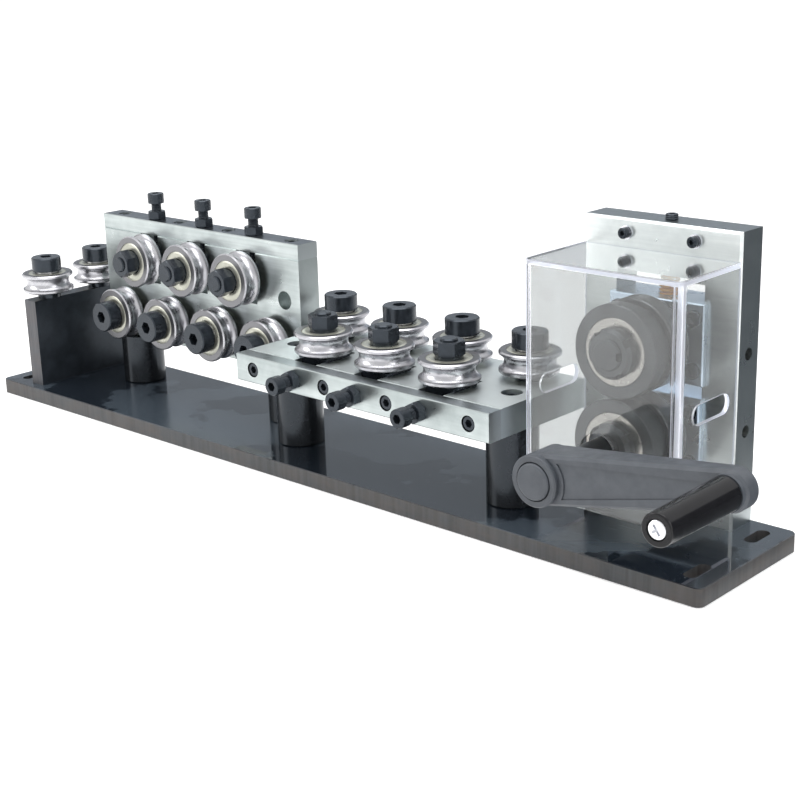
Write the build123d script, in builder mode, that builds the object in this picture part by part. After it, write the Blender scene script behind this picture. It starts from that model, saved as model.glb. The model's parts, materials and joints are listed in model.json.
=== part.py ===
"""Hand-cranked bench wire straightener.

Frame: +X runs along the base, the way the wire travels, +Y points to the back and +Z up.
The origin is the centre of the base plate's underside. All sizes are in millimetres.
"""
from build123d import *
import os
from math import cos, pi, radians, sin, sqrt

os.makedirs("parts", exist_ok=True)

# ---------------------------------------------------------------- driving dimensions
# Base plate and the wire line that runs along it
base_width, base_thickness = 112.0, 12.0
base_corner_radius, base_chamfer = 5.0, 0.5
slot_width, slot_length = 9.0, 23.0
slot_end_distance, slot_spacing = 16.0, 68.0
wire_height = 98.8                      # of the wire line over the base's underside

# Spaces along the base, from its left end to its right end
end_to_bracket, bracket_to_upright = 32.7, 25.3
upright_to_level, level_to_tower, tower_to_end = 2.0, 9.5, 32.5

# Grooved rollers, each a shielded ball bearing
roller_diameter, roller_width = 42.0, 15.5
groove_radius, groove_depth = 5.6, 3.6
rim_chamfer = 0.9
race_bore_radius = 15.8                 # inside of the outer race
inner_race_radius, inner_race_length = 9.5, 19.0
shield_thickness, shield_recess = 0.6, 0.8
shield_gap = 0.3                        # from a shield to the inner race
ball_radius, ball_count = 2.7, 9
cage_thickness, cage_width = 1.4, 2.4

# Axles
axle_radius = 6.0
axle_fit = 0.05                         # radial, of an axle in its hole
axle_cap_radius, axle_cap_height = 12.25, 11.5
axle_cap_socket, axle_cap_socket_depth, axle_cap_chamfer = 9.0, 7.0, 0.8
spacer_radius = 9.5
axle_nut_size, axle_nut_height = 19.0, 10.0
stud_overhang = 1.6

# Straightening modules: one stands upright, the other lies level
module_length, plate_width, plate_thickness = 236.0, 89.0, 20.0
bar_width = 12.0
edge_to_wire = 55.4                     # from the bar's outer face to the wire line
face_to_wire = 12.0                     # from the plate's roller face to the wire line
roller_pitch, row_gap = 59.0, 6.0
row_offset = (roller_diameter + row_gap) / 2
edge_chamfer = 0.6

# Slide blocks and their adjusting screws
guide_width, guide_depth = 22.0, 40.0   # slot in the plate, open under the bar
slide_clearance = 0.15
slide_height = 24.0
slide_flange_width = 27.0
slide_flange_thickness = face_to_wire - inner_race_length / 2 - slide_clearance
screw_radius, screw_fit = 4.0, 0.05
screw_seat_depth, screw_end_gap = 6.0, 0.3
screw_head_radius, screw_head_height, screw_head_reach = 6.5, 8.0, 21.0
screw_socket = 6.0
lock_nut_size, lock_nut_height = 13.0, 6.5

# Bar screws, and the holes by which a plate can be bolted down
bar_screw_radius, bar_screw_head_radius, bar_screw_head_height = 3.0, 5.0, 6.0
bar_screw_end_distance, bar_screw_length = 17.0, 24.0
bar_screw_socket, bar_screw_head_gap = 5.0, 0.5
bar_screw_sink = 6.6
plate_hole_inset, plate_hole_from_edge = 17.0, 44.5
plate_hole_radius, plate_hole_sink_radius, plate_hole_sink_depth = 4.5, 7.2, 10.0
plate_screw_radius, plate_screw_head_radius, plate_screw_head_height = 4.0, 6.5, 8.0
plate_screw_socket = 6.0

# Support posts
post_radius = 17.5
upright_post_inset = 26.5
post_thread_depth = 18.0
post_chamfer = 0.8

# Entry bracket
bracket_thickness, bracket_width, bracket_chamfer = 15.0, 95.0, 0.4
bracket_to_wire = 13.4                  # from the bracket's top to the wire line
entry_roller_front_y, entry_roller_rear_y = -27.5, 24.5

# Drive head: names that end in rise are heights over the wire line
tower_width, tower_thickness, tower_rise = 114.0, 25.0, 102.2
tower_chamfer = 1.6
wheel_radius, wheel_gap = 29.8, 0.4
window_width, window_rise = 62.0, 67.2
rebate_width, rebate_depth, rebate_rise = 70.0, 3.5, 64.7
block_height, block_flange_width, block_clearance = 52.0, 67.0, 0.15
block_plate_thickness, block_chamfer = 4.0, 0.8
block_screw_x, block_screw_z = 26.5, 16.5
block_screw_head_radius, block_screw_head_height, block_screw_sink = 5.0, 6.0, 3.4
block_screw_socket = 5.0
bridge_width, bridge_height, bridge_rise, bridge_fit = 100.0, 28.0, 83.2, 0.1
bridge_screw_x, bridge_screw_z = 25.0, 10.0
bridge_screw_radius, bridge_screw_head_radius, bridge_screw_head_height = 2.0, 3.5, 4.0
bridge_screw_socket, bridge_washer_radius, bridge_washer_thickness = 3.0, 4.5, 0.8
side_hole_radius, side_hole_depth = 4.0, 22.0
side_hole_high_rise, side_hole_low_rise = 25.4, -24.4

# Pressure spring, its pad and its screw
spring_radius, spring_wire, spring_turns = 5.2, 1.8, 8
spring_pocket_depth, spring_side_gap = 6.0, 0.4
spring_well_depth = 9.0                 # over the window, for the spring's top and its pad
pad_radius, pad_thickness, pad_gap, pad_chamfer = 5.9, 2.5, 0.3, 0.3
pressure_screw_overhang, pressure_screw_chamfer = 3.6, 0.5
spring_samples = 400                    # places along the spring where its gaps are measured

# Drive wheels
wheel_front_y = -14.6
front_disc_width, wheel_groove_width, rear_disc_width = 10.1, 9.0, 13.5
wheel_core_radius, hub_radius, hub_flange_radius, hub_flange_thickness = 26.0, 18.0, 21.6, 2.0
disc_chamfer, disc_fit, hub_chamfer = 0.8, 0.03, 0.5
shaft_radius, shaft_neck_radius, shaft_shoulder_radius = 10.0, 9.0, 14.0
bush_thickness, shaft_fit = 4.0, 0.05
ring_nut_radius, ring_nut_thickness, ring_nut_slots = 15.9, 7.0, 4
ring_nut_slot_width, ring_nut_slot_depth = 5.0, 2.4
ring_nut_bevel = 2.2
ring_nut_turn = 35.0
keyway_width, keyway_depth = 5.0, 3.0
idler_end_overhang, shaft_chamfer = 1.8, 0.8
shoulder_gap = 0.2                      # from a shaft's shoulder to its bearing block

# Clear guard
guard_depth, guard_top_rise, guard_bottom_rise = 64.5, 84.0, -68.4
guard_sheet, guard_bend_radius, guard_edge_chamfer = 3.0, 6.0, 0.5
guard_slot_length, guard_slot_height, guard_slot_y = 40.0, 13.0, 3.0
guard_hole_radius = 12.75

# Crank
crank_length, crank_angle = 128.0, 10.0
crank_front_y, crank_face_y = -96.0, -93.0
crank_rear_y, crank_tip_rear_y = -70.0, -82.0   # behind the hub and behind the grip
crank_hub_radius, crank_arm_root_radius, crank_arm_tip_radius = 16.0, 15.6, 12.0
crank_bevel, crank_hub_chamfer = 1.8, 0.8
crank_panel_start, crank_panel_end, crank_panel_depth = 19.6, 116.0, 0.8
crank_panel_root_width, crank_panel_end_width = 23.8, 9.2
cap_radius, cap_groove, cap_crown = 11.4, 0.7, 1.4
cap_seat_depth, cap_to_shaft = 3.0, 1.0
collar_radius, collar_height = 10.6, 2.4
grip_root_radius, grip_end_radius, grip_length, grip_gap = 10.2, 9.3, 64.0, 0.3
grip_root_fillet, grip_end_fillet = 0.6, 1.2
grip_screw_radius, grip_screw_head_radius, grip_screw_head_height = 4.0, 5.6, 4.5
grip_screw_rear_gap = 1.0               # from the screw's end to the arm's rear face
grip_screw_recess, grip_screw_fit = 0.4, 0.08
grip_screw_crown, cross_span, cross_width, cross_depth = 1.2, 6.4, 1.3, 2.4
cross_turn = 35.0

# Screws that come up through the base
base_screw_radius, base_screw_head_radius, base_screw_head_height = 4.0, 6.5, 5.0
base_screw_sink, base_screw_hole_fit = 6.0, 0.3
base_screw_grip, base_screw_socket = 14.0, 6.0
bracket_screw_y, tower_screw_x = 30.0, 40.0
thread_end_gap = 1.0                    # past the end of a screw in a blind hole

# Heads of all socket screws
head_chamfer, socket_share = 0.5, 0.55  # depth of a hexagon socket over its head's height
nut_bevel_share = 0.6

# ---------------------------------------------------------------- places worked out
roller_radius = roller_diameter / 2
wire_y = 0.0
base_top = base_thickness
modules_length = 2 * module_length + upright_to_level
base_length = (end_to_bracket + bracket_thickness + bracket_to_upright + modules_length
               + level_to_tower + tower_width + tower_to_end)
bracket_x = end_to_bracket - base_length / 2
upright_start = bracket_x + bracket_thickness + bracket_to_upright
level_start = upright_start + module_length + upright_to_level
tower_x = level_start + module_length + level_to_tower
tower_front = base_width / 2 - tower_thickness
tower_mid_x = tower_x + tower_width / 2
tower_mid_y = tower_front + tower_thickness / 2
tower_top = wire_height + tower_rise
tower_height = tower_top - base_top
window_top = wire_height + window_rise
rebate_top = wire_height + rebate_rise
bridge_z = wire_height + bridge_rise
wheel_pitch = 2 * wheel_radius + wheel_gap
drive_axis_z = wire_height - wheel_pitch / 2
idler_axis_z = wire_height + wheel_pitch / 2
window_bottom = drive_axis_z - block_height / 2
wheel_rear_y = wheel_front_y + front_disc_width + wheel_groove_width + rear_disc_width
block_front = tower_front - block_clearance - block_plate_thickness
block_seam = tower_front - block_clearance
flange_front = tower_front + tower_thickness - rebate_depth + block_clearance
block_rear = tower_front + tower_thickness - block_clearance
bracket_top = wire_height - bracket_to_wire
bracket_height = bracket_top - base_top
bracket_mid_x = bracket_x + bracket_thickness / 2
upright_mid = upright_start + module_length / 2
level_mid = level_start + module_length / 2
crank_tip = (tower_mid_x + crank_length * cos(radians(crank_angle)),
             drive_axis_z + crank_length * sin(radians(crank_angle)))

# A module's plane lies on its plate's roller face, at mid length on the wire line:
# local x along the wire, local y towards the bar, local z out to the rollers.
upright_plane = Plane(origin=(upright_mid, wire_y + face_to_wire, wire_height),
                      x_dir=(1, 0, 0), z_dir=(0, -1, 0))
level_plane = Plane(origin=(level_mid, wire_y, wire_height - face_to_wire),
                    x_dir=(-1, 0, 0), z_dir=(0, 0, 1))
# The rest of the frame's working planes
bracket_plane = Plane(origin=(bracket_mid_x, 0, bracket_top), x_dir=(1, 0, 0), z_dir=(0, 0, 1))
drive_plane = Plane(origin=(tower_mid_x, 0, drive_axis_z), x_dir=(1, 0, 0), z_dir=(0, -1, 0))
idler_plane = Plane(origin=(tower_mid_x, 0, idler_axis_z), x_dir=(1, 0, 0), z_dir=(0, -1, 0))
grip_plane = Plane(origin=(crank_tip[0], 0, crank_tip[1]), x_dir=(1, 0, 0), z_dir=(0, -1, 0))
crank_plane = Plane(origin=drive_plane.origin, z_dir=(0, -1, 0),
                    x_dir=(cos(radians(crank_angle)), 0, sin(radians(crank_angle))))


# ---------------------------------------------------------------- helpers
def save(label, *solids):
    """Write one node, which may hold several separate solids."""
    node = solids[0] if len(solids) == 1 else Compound(children=list(solids))
    node.label = label
    export_step(node, f"parts/{label}.step")


def at(plane, x=0.0, y=0.0, z=0.0):
    """The same plane moved to a local point."""
    return Plane(origin=plane.from_local_coords((x, y, z)), x_dir=plane.x_dir, z_dir=plane.z_dir)


def hexagon(size):
    """Corner radius of a hexagon measured across its flats."""
    return size / sqrt(3)


def socket_screw(plane, radius, length, head_radius, head_height, socket):
    """Socket head screw: the head's underside on the plane, the shank going down."""
    with BuildPart() as screw:
        with BuildSketch(plane):
            Circle(head_radius)
        extrude(amount=head_height)
        chamfer(screw.edges().group_by(Axis(plane.origin, plane.z_dir))[-1], head_chamfer)
        with BuildSketch(plane):
            Circle(radius)
        extrude(amount=-length)
        with BuildSketch(at(plane, z=head_height)):
            RegularPolygon(hexagon(socket), 6)
        extrude(amount=-head_height * socket_share, mode=Mode.SUBTRACT)
    return screw.part


def hex_nut(plane, size, height, hole_radius):
    """Chamfered hexagon nut standing on the plane."""
    corner = hexagon(size)
    with BuildPart() as nut:
        with BuildSketch(plane):
            RegularPolygon(corner, 6, rotation=30)
        extrude(amount=height)
        with BuildSketch(Plane(origin=plane.origin, x_dir=plane.x_dir,
                               z_dir=plane.z_dir.cross(plane.x_dir))):
            with BuildLine():
                lift = (corner - size / 2) * nut_bevel_share
                Polyline((0, 0), (size / 2, 0), (corner, -lift), (corner, -height + lift),
                         (size / 2, -height), (0, -height), close=True)
            make_face()
        revolve(axis=Axis(plane.origin, plane.z_dir), mode=Mode.INTERSECT)
        with BuildSketch(plane):
            Circle(hole_radius)
        extrude(amount=height, mode=Mode.SUBTRACT)
    return nut.part


def spindle(plane, *steps):
    """Round bar along the plane's axis, from steps of (low, high, radius)."""
    with BuildPart() as bar:
        for low, high, radius in steps:
            with BuildSketch(at(plane, z=low)):
                Circle(radius)
            extrude(amount=high - low)
    return bar.part


def ring(plane, low, high, outer, inner):
    """Plain ring about the plane's axis."""
    with BuildPart() as tube:
        with BuildSketch(at(plane, z=low)):
            Circle(outer)
            Circle(inner, mode=Mode.SUBTRACT)
        extrude(amount=high - low)
    return tube.part


# ---------------------------------------------------------------- rollers and axles
def outer_race(plane):
    """Grooved outer race, its middle on the plane."""
    half = roller_width / 2
    groove_centre = roller_radius - groove_depth + groove_radius
    mouth = sqrt(groove_radius**2 - (groove_centre - roller_radius)**2)
    section = Plane(origin=plane.origin, x_dir=plane.x_dir, z_dir=plane.z_dir.cross(plane.x_dir))
    with BuildPart() as race:
        with BuildSketch(section):
            with BuildLine():
                Polyline((roller_radius, mouth), (roller_radius, half - rim_chamfer),
                         (roller_radius - rim_chamfer, half), (race_bore_radius, half),
                         (race_bore_radius, -half), (roller_radius - rim_chamfer, -half),
                         (roller_radius, rim_chamfer - half), (roller_radius, -mouth))
                ThreePointArc((roller_radius, -mouth), (roller_radius - groove_depth, 0),
                              (roller_radius, mouth))
            make_face()
        revolve(axis=Axis(plane.origin, plane.z_dir))
    return race.part


def ball_set(plane):
    """Ring of balls held by a thin cage."""
    track = (inner_race_radius + race_bore_radius) / 2
    with BuildPart() as balls:
        with BuildSketch(at(plane, z=-cage_width / 2)):
            Circle(track + cage_thickness / 2)
            Circle(track - cage_thickness / 2, mode=Mode.SUBTRACT)
        extrude(amount=cage_width)
        with Locations(plane):
            with PolarLocations(track, ball_count):
                Sphere(ball_radius)
    return balls.part


def roller(label, plane):
    """One roller: outer race, two shields and the ball set, its middle on the plane."""
    face = roller_width / 2 - shield_recess
    shields = [ring(plane, low, low + shield_thickness, race_bore_radius,
                    inner_race_radius + shield_gap) for low in (-face, face - shield_thickness)]
    save(label, outer_race(plane), *shields, ball_set(plane))


def inner_race(plane):
    """Inner race, its middle on the plane."""
    return ring(plane, -inner_race_length / 2, inner_race_length / 2,
                inner_race_radius, axle_radius + axle_fit)


def cap_axle(plane, face_distance, depth):
    """Fixed axle with a round cap, its roller's middle on the plane.

    The spacer under the roller stands on a face that is face_distance below the plane,
    and the axle goes depth into that face.
    """
    top = inner_race_length / 2
    with BuildPart() as pin:
        add(spindle(plane, (-face_distance - depth, top, axle_radius),
                    (top, top + axle_cap_height, axle_cap_radius)))
        chamfer(pin.edges().group_by(Axis(plane.origin, plane.z_dir))[-1], axle_cap_chamfer)
        with BuildSketch(at(plane, z=top + axle_cap_height)):
            RegularPolygon(hexagon(axle_cap_socket), 6)
        extrude(amount=-axle_cap_socket_depth, mode=Mode.SUBTRACT)
    spacer = ring(plane, -face_distance, -top, spacer_radius, axle_radius + axle_fit)
    return [pin.part, spacer]


def stud_set(plane):
    """Stud, inner race and hexagon nut of a roller on a slide block."""
    top = inner_race_length / 2
    with BuildPart() as stud:
        add(spindle(plane, (-face_to_wire - plate_thickness,
                            top + axle_nut_height + stud_overhang, axle_radius)))
        chamfer(stud.edges().group_by(Axis(plane.origin, plane.z_dir))[-1], axle_cap_chamfer)
    nut = hex_nut(at(plane, z=top), axle_nut_size, axle_nut_height, axle_radius + axle_fit)
    return [stud.part, inner_race(plane), nut]


# ---------------------------------------------------------------- straightening modules
plate_top = edge_to_wire - bar_width            # local y of the seam under the bar
plate_bottom = plate_top - plate_width
fixed_x = [(i - 1.5) * roller_pitch for i in range(4)]
adjust_x = [(i - 1) * roller_pitch for i in range(3)]
bar_screw_inner = roller_pitch / 2
bar_screw_x = [-module_length / 2 + bar_screw_end_distance, -bar_screw_inner, bar_screw_inner,
               module_length / 2 - bar_screw_end_distance]
plate_hole_x = module_length / 2 - plate_hole_inset
plate_hole_y = edge_to_wire - plate_hole_from_edge
bar_mid_z = -plate_thickness / 2


def bar_plane(plane, x=0.0, height=0.0):
    """Plane on the bar's outer face, its normal pointing out of the module."""
    return Plane(origin=plane.from_local_coords((x, edge_to_wire + height, bar_mid_z)),
                 x_dir=plane.x_dir, z_dir=plane.y_dir)


def module_plate(label, plane):
    """Thick plate with three guide slots, axle holes and two bolt-down holes."""
    with BuildPart() as plate:
        with BuildSketch(plane):
            with Locations((0, (plate_top + plate_bottom) / 2)):
                Rectangle(module_length, plate_width)
        extrude(amount=-plate_thickness)
        chamfer(plate.edges().filter_by(Axis((0, 0, 0), plane.x_dir)), edge_chamfer)
        with BuildSketch(plane):
            with Locations(*[(x, plate_top - guide_depth / 2) for x in adjust_x]):
                Rectangle(guide_width, guide_depth)
            with Locations(*[(x, -row_offset) for x in fixed_x]):
                Circle(axle_radius + axle_fit)
            with Locations((-plate_hole_x, plate_hole_y), (plate_hole_x, plate_hole_y)):
                Circle(plate_hole_radius)
        extrude(amount=-plate_thickness, mode=Mode.SUBTRACT)
        with BuildSketch(plane):
            with Locations((-plate_hole_x, plate_hole_y), (plate_hole_x, plate_hole_y)):
                Circle(plate_hole_sink_radius)
        extrude(amount=-plate_hole_sink_depth, mode=Mode.SUBTRACT)
        with BuildSketch(bar_plane(plane, height=-bar_width)):
            with Locations(*[(x, 0) for x in bar_screw_x]):
                Circle(bar_screw_radius + screw_fit)
        extrude(amount=-bar_screw_length, mode=Mode.SUBTRACT)
        if plane is upright_plane:
            with BuildSketch(Plane.XY.offset(upright_bottom)):
                with Locations(*[(x, upright_post_y) for x in upright_post_x]):
                    Circle(base_screw_radius + screw_fit)
            extrude(amount=base_screw_grip, mode=Mode.SUBTRACT)
    save(label, plate.part)


def module_bar(label, plane):
    """Bar over the guide slots, tapped for the adjusting screws."""
    with BuildPart() as bar:
        with BuildSketch(bar_plane(plane)):
            Rectangle(module_length, plate_thickness)
        extrude(amount=-bar_width)
        chamfer(bar.edges().filter_by(Axis((0, 0, 0), plane.x_dir)), edge_chamfer)
        with BuildSketch(bar_plane(plane)):
            with Locations(*[(x, 0) for x in adjust_x]):
                Circle(screw_radius + screw_fit)
            with Locations(*[(x, 0) for x in bar_screw_x]):
                Circle(bar_screw_radius + screw_fit)
        extrude(amount=-bar_width, mode=Mode.SUBTRACT)
        with BuildSketch(bar_plane(plane)):
            with Locations(*[(x, 0) for x in bar_screw_x]):
                Circle(bar_screw_head_radius + bar_screw_head_gap)
        extrude(amount=-bar_screw_sink, mode=Mode.SUBTRACT)
    save(label, bar.part)


def slide_block(plane):
    """Block that slides in a guide slot, flanged in front of and behind the plate."""
    body_width = guide_width - 2 * slide_clearance
    depth = plate_thickness + 2 * slide_clearance
    with BuildPart() as block:
        with BuildSketch(at(plane, z=slide_clearance)):
            Rectangle(body_width, slide_height)
        extrude(amount=-depth)
        with BuildSketch(at(plane, z=slide_clearance), at(plane, z=slide_clearance - depth
                                                          - slide_flange_thickness)):
            Rectangle(slide_flange_width, slide_height)
        extrude(amount=slide_flange_thickness)
        with BuildSketch(plane):
            Circle(axle_radius + axle_fit)
        extrude(amount=2 * slide_flange_thickness, mode=Mode.SUBTRACT)
        with BuildSketch(plane):
            Circle(axle_radius + axle_fit)
        extrude(amount=-plate_thickness, mode=Mode.SUBTRACT)
        with BuildSketch(Plane(origin=plane.from_local_coords((0, slide_height / 2, bar_mid_z)),
                               x_dir=plane.x_dir, z_dir=plane.y_dir)):
            Circle(screw_radius + screw_fit)
        extrude(amount=-screw_seat_depth, mode=Mode.SUBTRACT)
    return block.part


def adjusting_screw(label, plane):
    """Socket head screw on a plane at the bar's outer face, reaching into its slide block."""
    under_head = screw_head_reach - screw_head_height
    seat = row_offset + slide_height / 2 - screw_seat_depth + screw_end_gap
    save(label, socket_screw(at(plane, z=under_head), screw_radius,
                             under_head + edge_to_wire - seat,
                             screw_head_radius, screw_head_height, screw_socket))


def straightening_module(name, plane, side):
    """One module: plate, bar, four fixed and three adjustable rollers.

    side is 1 where local x runs along +X and -1 where it runs back, so that the rollers
    are numbered the way the wire travels.
    """
    module_plate(f"{name}_plate", plane)
    module_bar(f"{name}_bar", plane)
    for i, x in enumerate(fixed_x):
        roller(f"{name}_fixed_roller_{i + 1}", at(plane, side * x, -row_offset, face_to_wire))
    for i, x in enumerate(adjust_x):
        middle = at(plane, side * x, row_offset, face_to_wire)
        roller(f"{name}_adjustable_roller_{i + 1}", middle)
        save(f"{name}_slide_{i + 1}", slide_block(at(plane, side * x, row_offset)),
             *stud_set(middle))
        adjusting_screw(f"{name}_adjusting_screw_{i + 1}", bar_plane(plane, side * x))


# ---------------------------------------------------------------- base, posts and bracket
level_post = [(level_mid + s * plate_hole_x, wire_y - plate_hole_y) for s in (-1, 1)]
level_bottom = wire_height - face_to_wire - plate_thickness
upright_bottom = wire_height + plate_bottom
upright_post_y = wire_y + face_to_wire + plate_thickness / 2
upright_post_x = [upright_mid + s * (module_length / 2 - upright_post_inset) for s in (-1, 1)]
upright_post = [(x, upright_post_y) for x in upright_post_x]
bracket_screws = [(bracket_mid_x, s * bracket_screw_y) for s in (-1, 1)]
tower_screws = [(tower_mid_x + s * tower_screw_x, tower_mid_y) for s in (-1, 1)]
short_base_screws = level_post + bracket_screws + tower_screws
base_slot_x = base_length / 2 - slot_end_distance

with BuildPart() as base_plate:
    with BuildSketch(Plane.XY):
        RectangleRounded(base_length, base_width, base_corner_radius)
    extrude(amount=base_thickness)
    chamfer(base_plate.faces().sort_by(Axis.Z)[-1].edges(), base_chamfer)
    with BuildSketch(Plane.XY):
        with Locations(*[(x, y) for x in (-base_slot_x, base_slot_x)
                         for y in (-slot_spacing / 2, slot_spacing / 2)]):
            SlotOverall(slot_length, slot_width, rotation=90)
        with Locations(*short_base_screws, *upright_post):
            Circle(base_screw_radius + base_screw_hole_fit)
    extrude(amount=base_thickness, mode=Mode.SUBTRACT)
    with BuildSketch(Plane.XY):
        with Locations(*short_base_screws, *upright_post):
            Circle(base_screw_head_radius + base_screw_hole_fit)
    extrude(amount=base_screw_sink, mode=Mode.SUBTRACT)
save("base_plate", base_plate.part)

underside = [Plane(origin=(x, y, base_screw_sink), x_dir=(1, 0, 0), z_dir=(0, 0, -1))
             for x, y in short_base_screws + upright_post]
screw_reach = [base_top - base_screw_sink + base_screw_grip] * len(short_base_screws)
screw_reach += [upright_bottom - base_screw_sink + base_screw_grip
                - thread_end_gap] * len(upright_post)
save("base_screws", *[socket_screw(plane, base_screw_radius, reach, base_screw_head_radius,
                                   base_screw_head_height, base_screw_socket)
                      for plane, reach in zip(underside, screw_reach)])


def support_post(place, top, through):
    """Round post on the base, bored right through or tapped at both ends."""
    with BuildPart() as post:
        with BuildSketch(Plane(origin=(*place, base_top))):
            Circle(post_radius)
        extrude(amount=top - base_top)
        chamfer(post.edges(), post_chamfer)
        with BuildSketch(Plane(origin=(*place, base_top))):
            Circle(base_screw_radius + screw_fit)
        extrude(amount=top - base_top if through else post_thread_depth, mode=Mode.SUBTRACT)
        if not through:
            with BuildSketch(Plane(origin=(*place, top))):
                Circle(plate_screw_radius + screw_fit)
            extrude(amount=-post_thread_depth, mode=Mode.SUBTRACT)
    return post.part


save("support_posts", *[support_post(place, upright_bottom, True) for place in upright_post],
     *[support_post(place, level_bottom, False) for place in level_post])
save("post_screws", *[socket_screw(at(level_plane, s * plate_hole_x, plate_hole_y,
                                      -plate_hole_sink_depth), plate_screw_radius,
                                   plate_thickness - plate_hole_sink_depth + post_thread_depth
                                   - 2 * thread_end_gap,
                                   plate_screw_head_radius, plate_screw_head_height,
                                   plate_screw_socket) for s in (-1, 1)])

entry_y = (entry_roller_front_y, entry_roller_rear_y)
with BuildPart() as entry_bracket:
    with BuildSketch(Plane.XY.offset(base_top)):
        with Locations((bracket_mid_x, 0)):
            Rectangle(bracket_thickness, bracket_width)
    extrude(amount=bracket_height)
    chamfer(entry_bracket.faces().sort_by(Axis.Z)[-1].edges(), bracket_chamfer)
    with BuildSketch(bracket_plane):
        with Locations(*[(0, y) for y in entry_y]):
            Circle(axle_radius + axle_fit)
    extrude(amount=-plate_thickness, mode=Mode.SUBTRACT)
    with BuildSketch(Plane.XY.offset(base_top)):
        with Locations(*bracket_screws):
            Circle(base_screw_radius + screw_fit)
    extrude(amount=base_screw_grip + thread_end_gap, mode=Mode.SUBTRACT)
save("entry_bracket", entry_bracket.part)

# ---------------------------------------------------------------- rollers, module by module
straightening_module("upright", upright_plane, 1)
straightening_module("level", level_plane, -1)

entry_middle = [at(bracket_plane, 0, y, wire_height - bracket_top) for y in entry_y]
for label, plane in zip(("entry_roller_front", "entry_roller_rear"), entry_middle):
    roller(label, plane)

fixed_middle = [at(plane, x, -row_offset, face_to_wire)
                for plane in (upright_plane, level_plane) for x in fixed_x]
axles = [cap_axle(plane, face_to_wire, plate_thickness) for plane in fixed_middle]
axles += [cap_axle(plane, wire_height - bracket_top, plate_thickness) for plane in entry_middle]
save("fixed_axles", *[solid for axle in axles for solid in axle])
save("inner_races", *[inner_race(plane) for plane in fixed_middle + entry_middle])

module_planes = (upright_plane, level_plane)
save("bar_screws", *[socket_screw(bar_plane(plane, x, -bar_screw_sink), bar_screw_radius,
                                  bar_screw_length - thread_end_gap, bar_screw_head_radius,
                                  bar_screw_head_height, bar_screw_socket)
                     for plane in module_planes for x in bar_screw_x])
save("lock_nuts", *[hex_nut(bar_plane(plane, x), lock_nut_size, lock_nut_height,
                            screw_radius + screw_fit)
                    for plane in module_planes for x in adjust_x])

# ---------------------------------------------------------------- drive head
window_height = window_top - window_bottom
bridge_screw_places = [(tower_mid_x + sx * bridge_screw_x, bridge_z + sz * bridge_screw_z)
                       for sx in (-1, 1) for sz in (-1, 1)]
tower_face = Plane(origin=(0, tower_front, 0), x_dir=(1, 0, 0), z_dir=(0, -1, 0))
tower_back = Plane(origin=(0, base_width / 2, 0), x_dir=(1, 0, 0), z_dir=(0, -1, 0))

with BuildPart() as tower_plate:
    with BuildSketch(tower_face):
        with Locations((tower_mid_x, base_top + tower_height / 2)):
            Rectangle(tower_width, tower_height)
    extrude(amount=-tower_thickness)
    chamfer(tower_plate.edges().filter_by(Axis.Z), tower_chamfer)
    chamfer(tower_plate.faces().sort_by(Axis.Z)[-1].edges().filter_by(Axis.X), tower_chamfer)
    with BuildSketch(tower_face):
        with Locations((tower_mid_x, window_bottom + window_height / 2)):
            Rectangle(window_width, window_height)
        with Locations(*bridge_screw_places):
            Circle(bridge_screw_radius + screw_fit)
    extrude(amount=-tower_thickness, mode=Mode.SUBTRACT)
    with BuildSketch(tower_back):
        with Locations((tower_mid_x, (window_bottom + rebate_top) / 2)):
            Rectangle(rebate_width, rebate_top - window_bottom)
    extrude(amount=rebate_depth, mode=Mode.SUBTRACT)
    with BuildSketch(tower_back):
        with Locations((tower_mid_x, bridge_z)):
            Rectangle(bridge_width + 2 * bridge_fit, bridge_height + 2 * bridge_fit)
    extrude(amount=rebate_depth, mode=Mode.SUBTRACT)
    with BuildSketch(Plane.XY.offset(tower_top)):
        with Locations((tower_mid_x, tower_mid_y)):
            Circle(screw_radius + screw_fit)
    extrude(amount=window_top - tower_top, mode=Mode.SUBTRACT)
    with BuildSketch(Plane.XY.offset(window_top)):
        with Locations((tower_mid_x, tower_mid_y)):
            Circle(spring_radius + spring_wire / 2 + spring_side_gap)
    extrude(amount=spring_well_depth, mode=Mode.SUBTRACT)
    with BuildSketch(Plane.YZ.offset(tower_x + tower_width)):
        with Locations((tower_mid_y, wire_height + side_hole_high_rise),
                       (tower_mid_y, wire_height + side_hole_low_rise)):
            Circle(side_hole_radius)
    extrude(amount=-side_hole_depth, mode=Mode.SUBTRACT)
    with BuildSketch(Plane.XY.offset(base_top)):
        with Locations(*tower_screws):
            Circle(base_screw_radius + screw_fit)
    extrude(amount=base_screw_grip + thread_end_gap, mode=Mode.SUBTRACT)
save("tower_plate", tower_plate.part)

with BuildPart() as tower_bridge:
    with BuildSketch(tower_back):
        with Locations((tower_mid_x, bridge_z)):
            Rectangle(bridge_width, bridge_height)
        with Locations(*bridge_screw_places):
            Circle(bridge_screw_radius + screw_fit, mode=Mode.SUBTRACT)
    extrude(amount=rebate_depth)
save("tower_bridge", tower_bridge.part)


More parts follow.
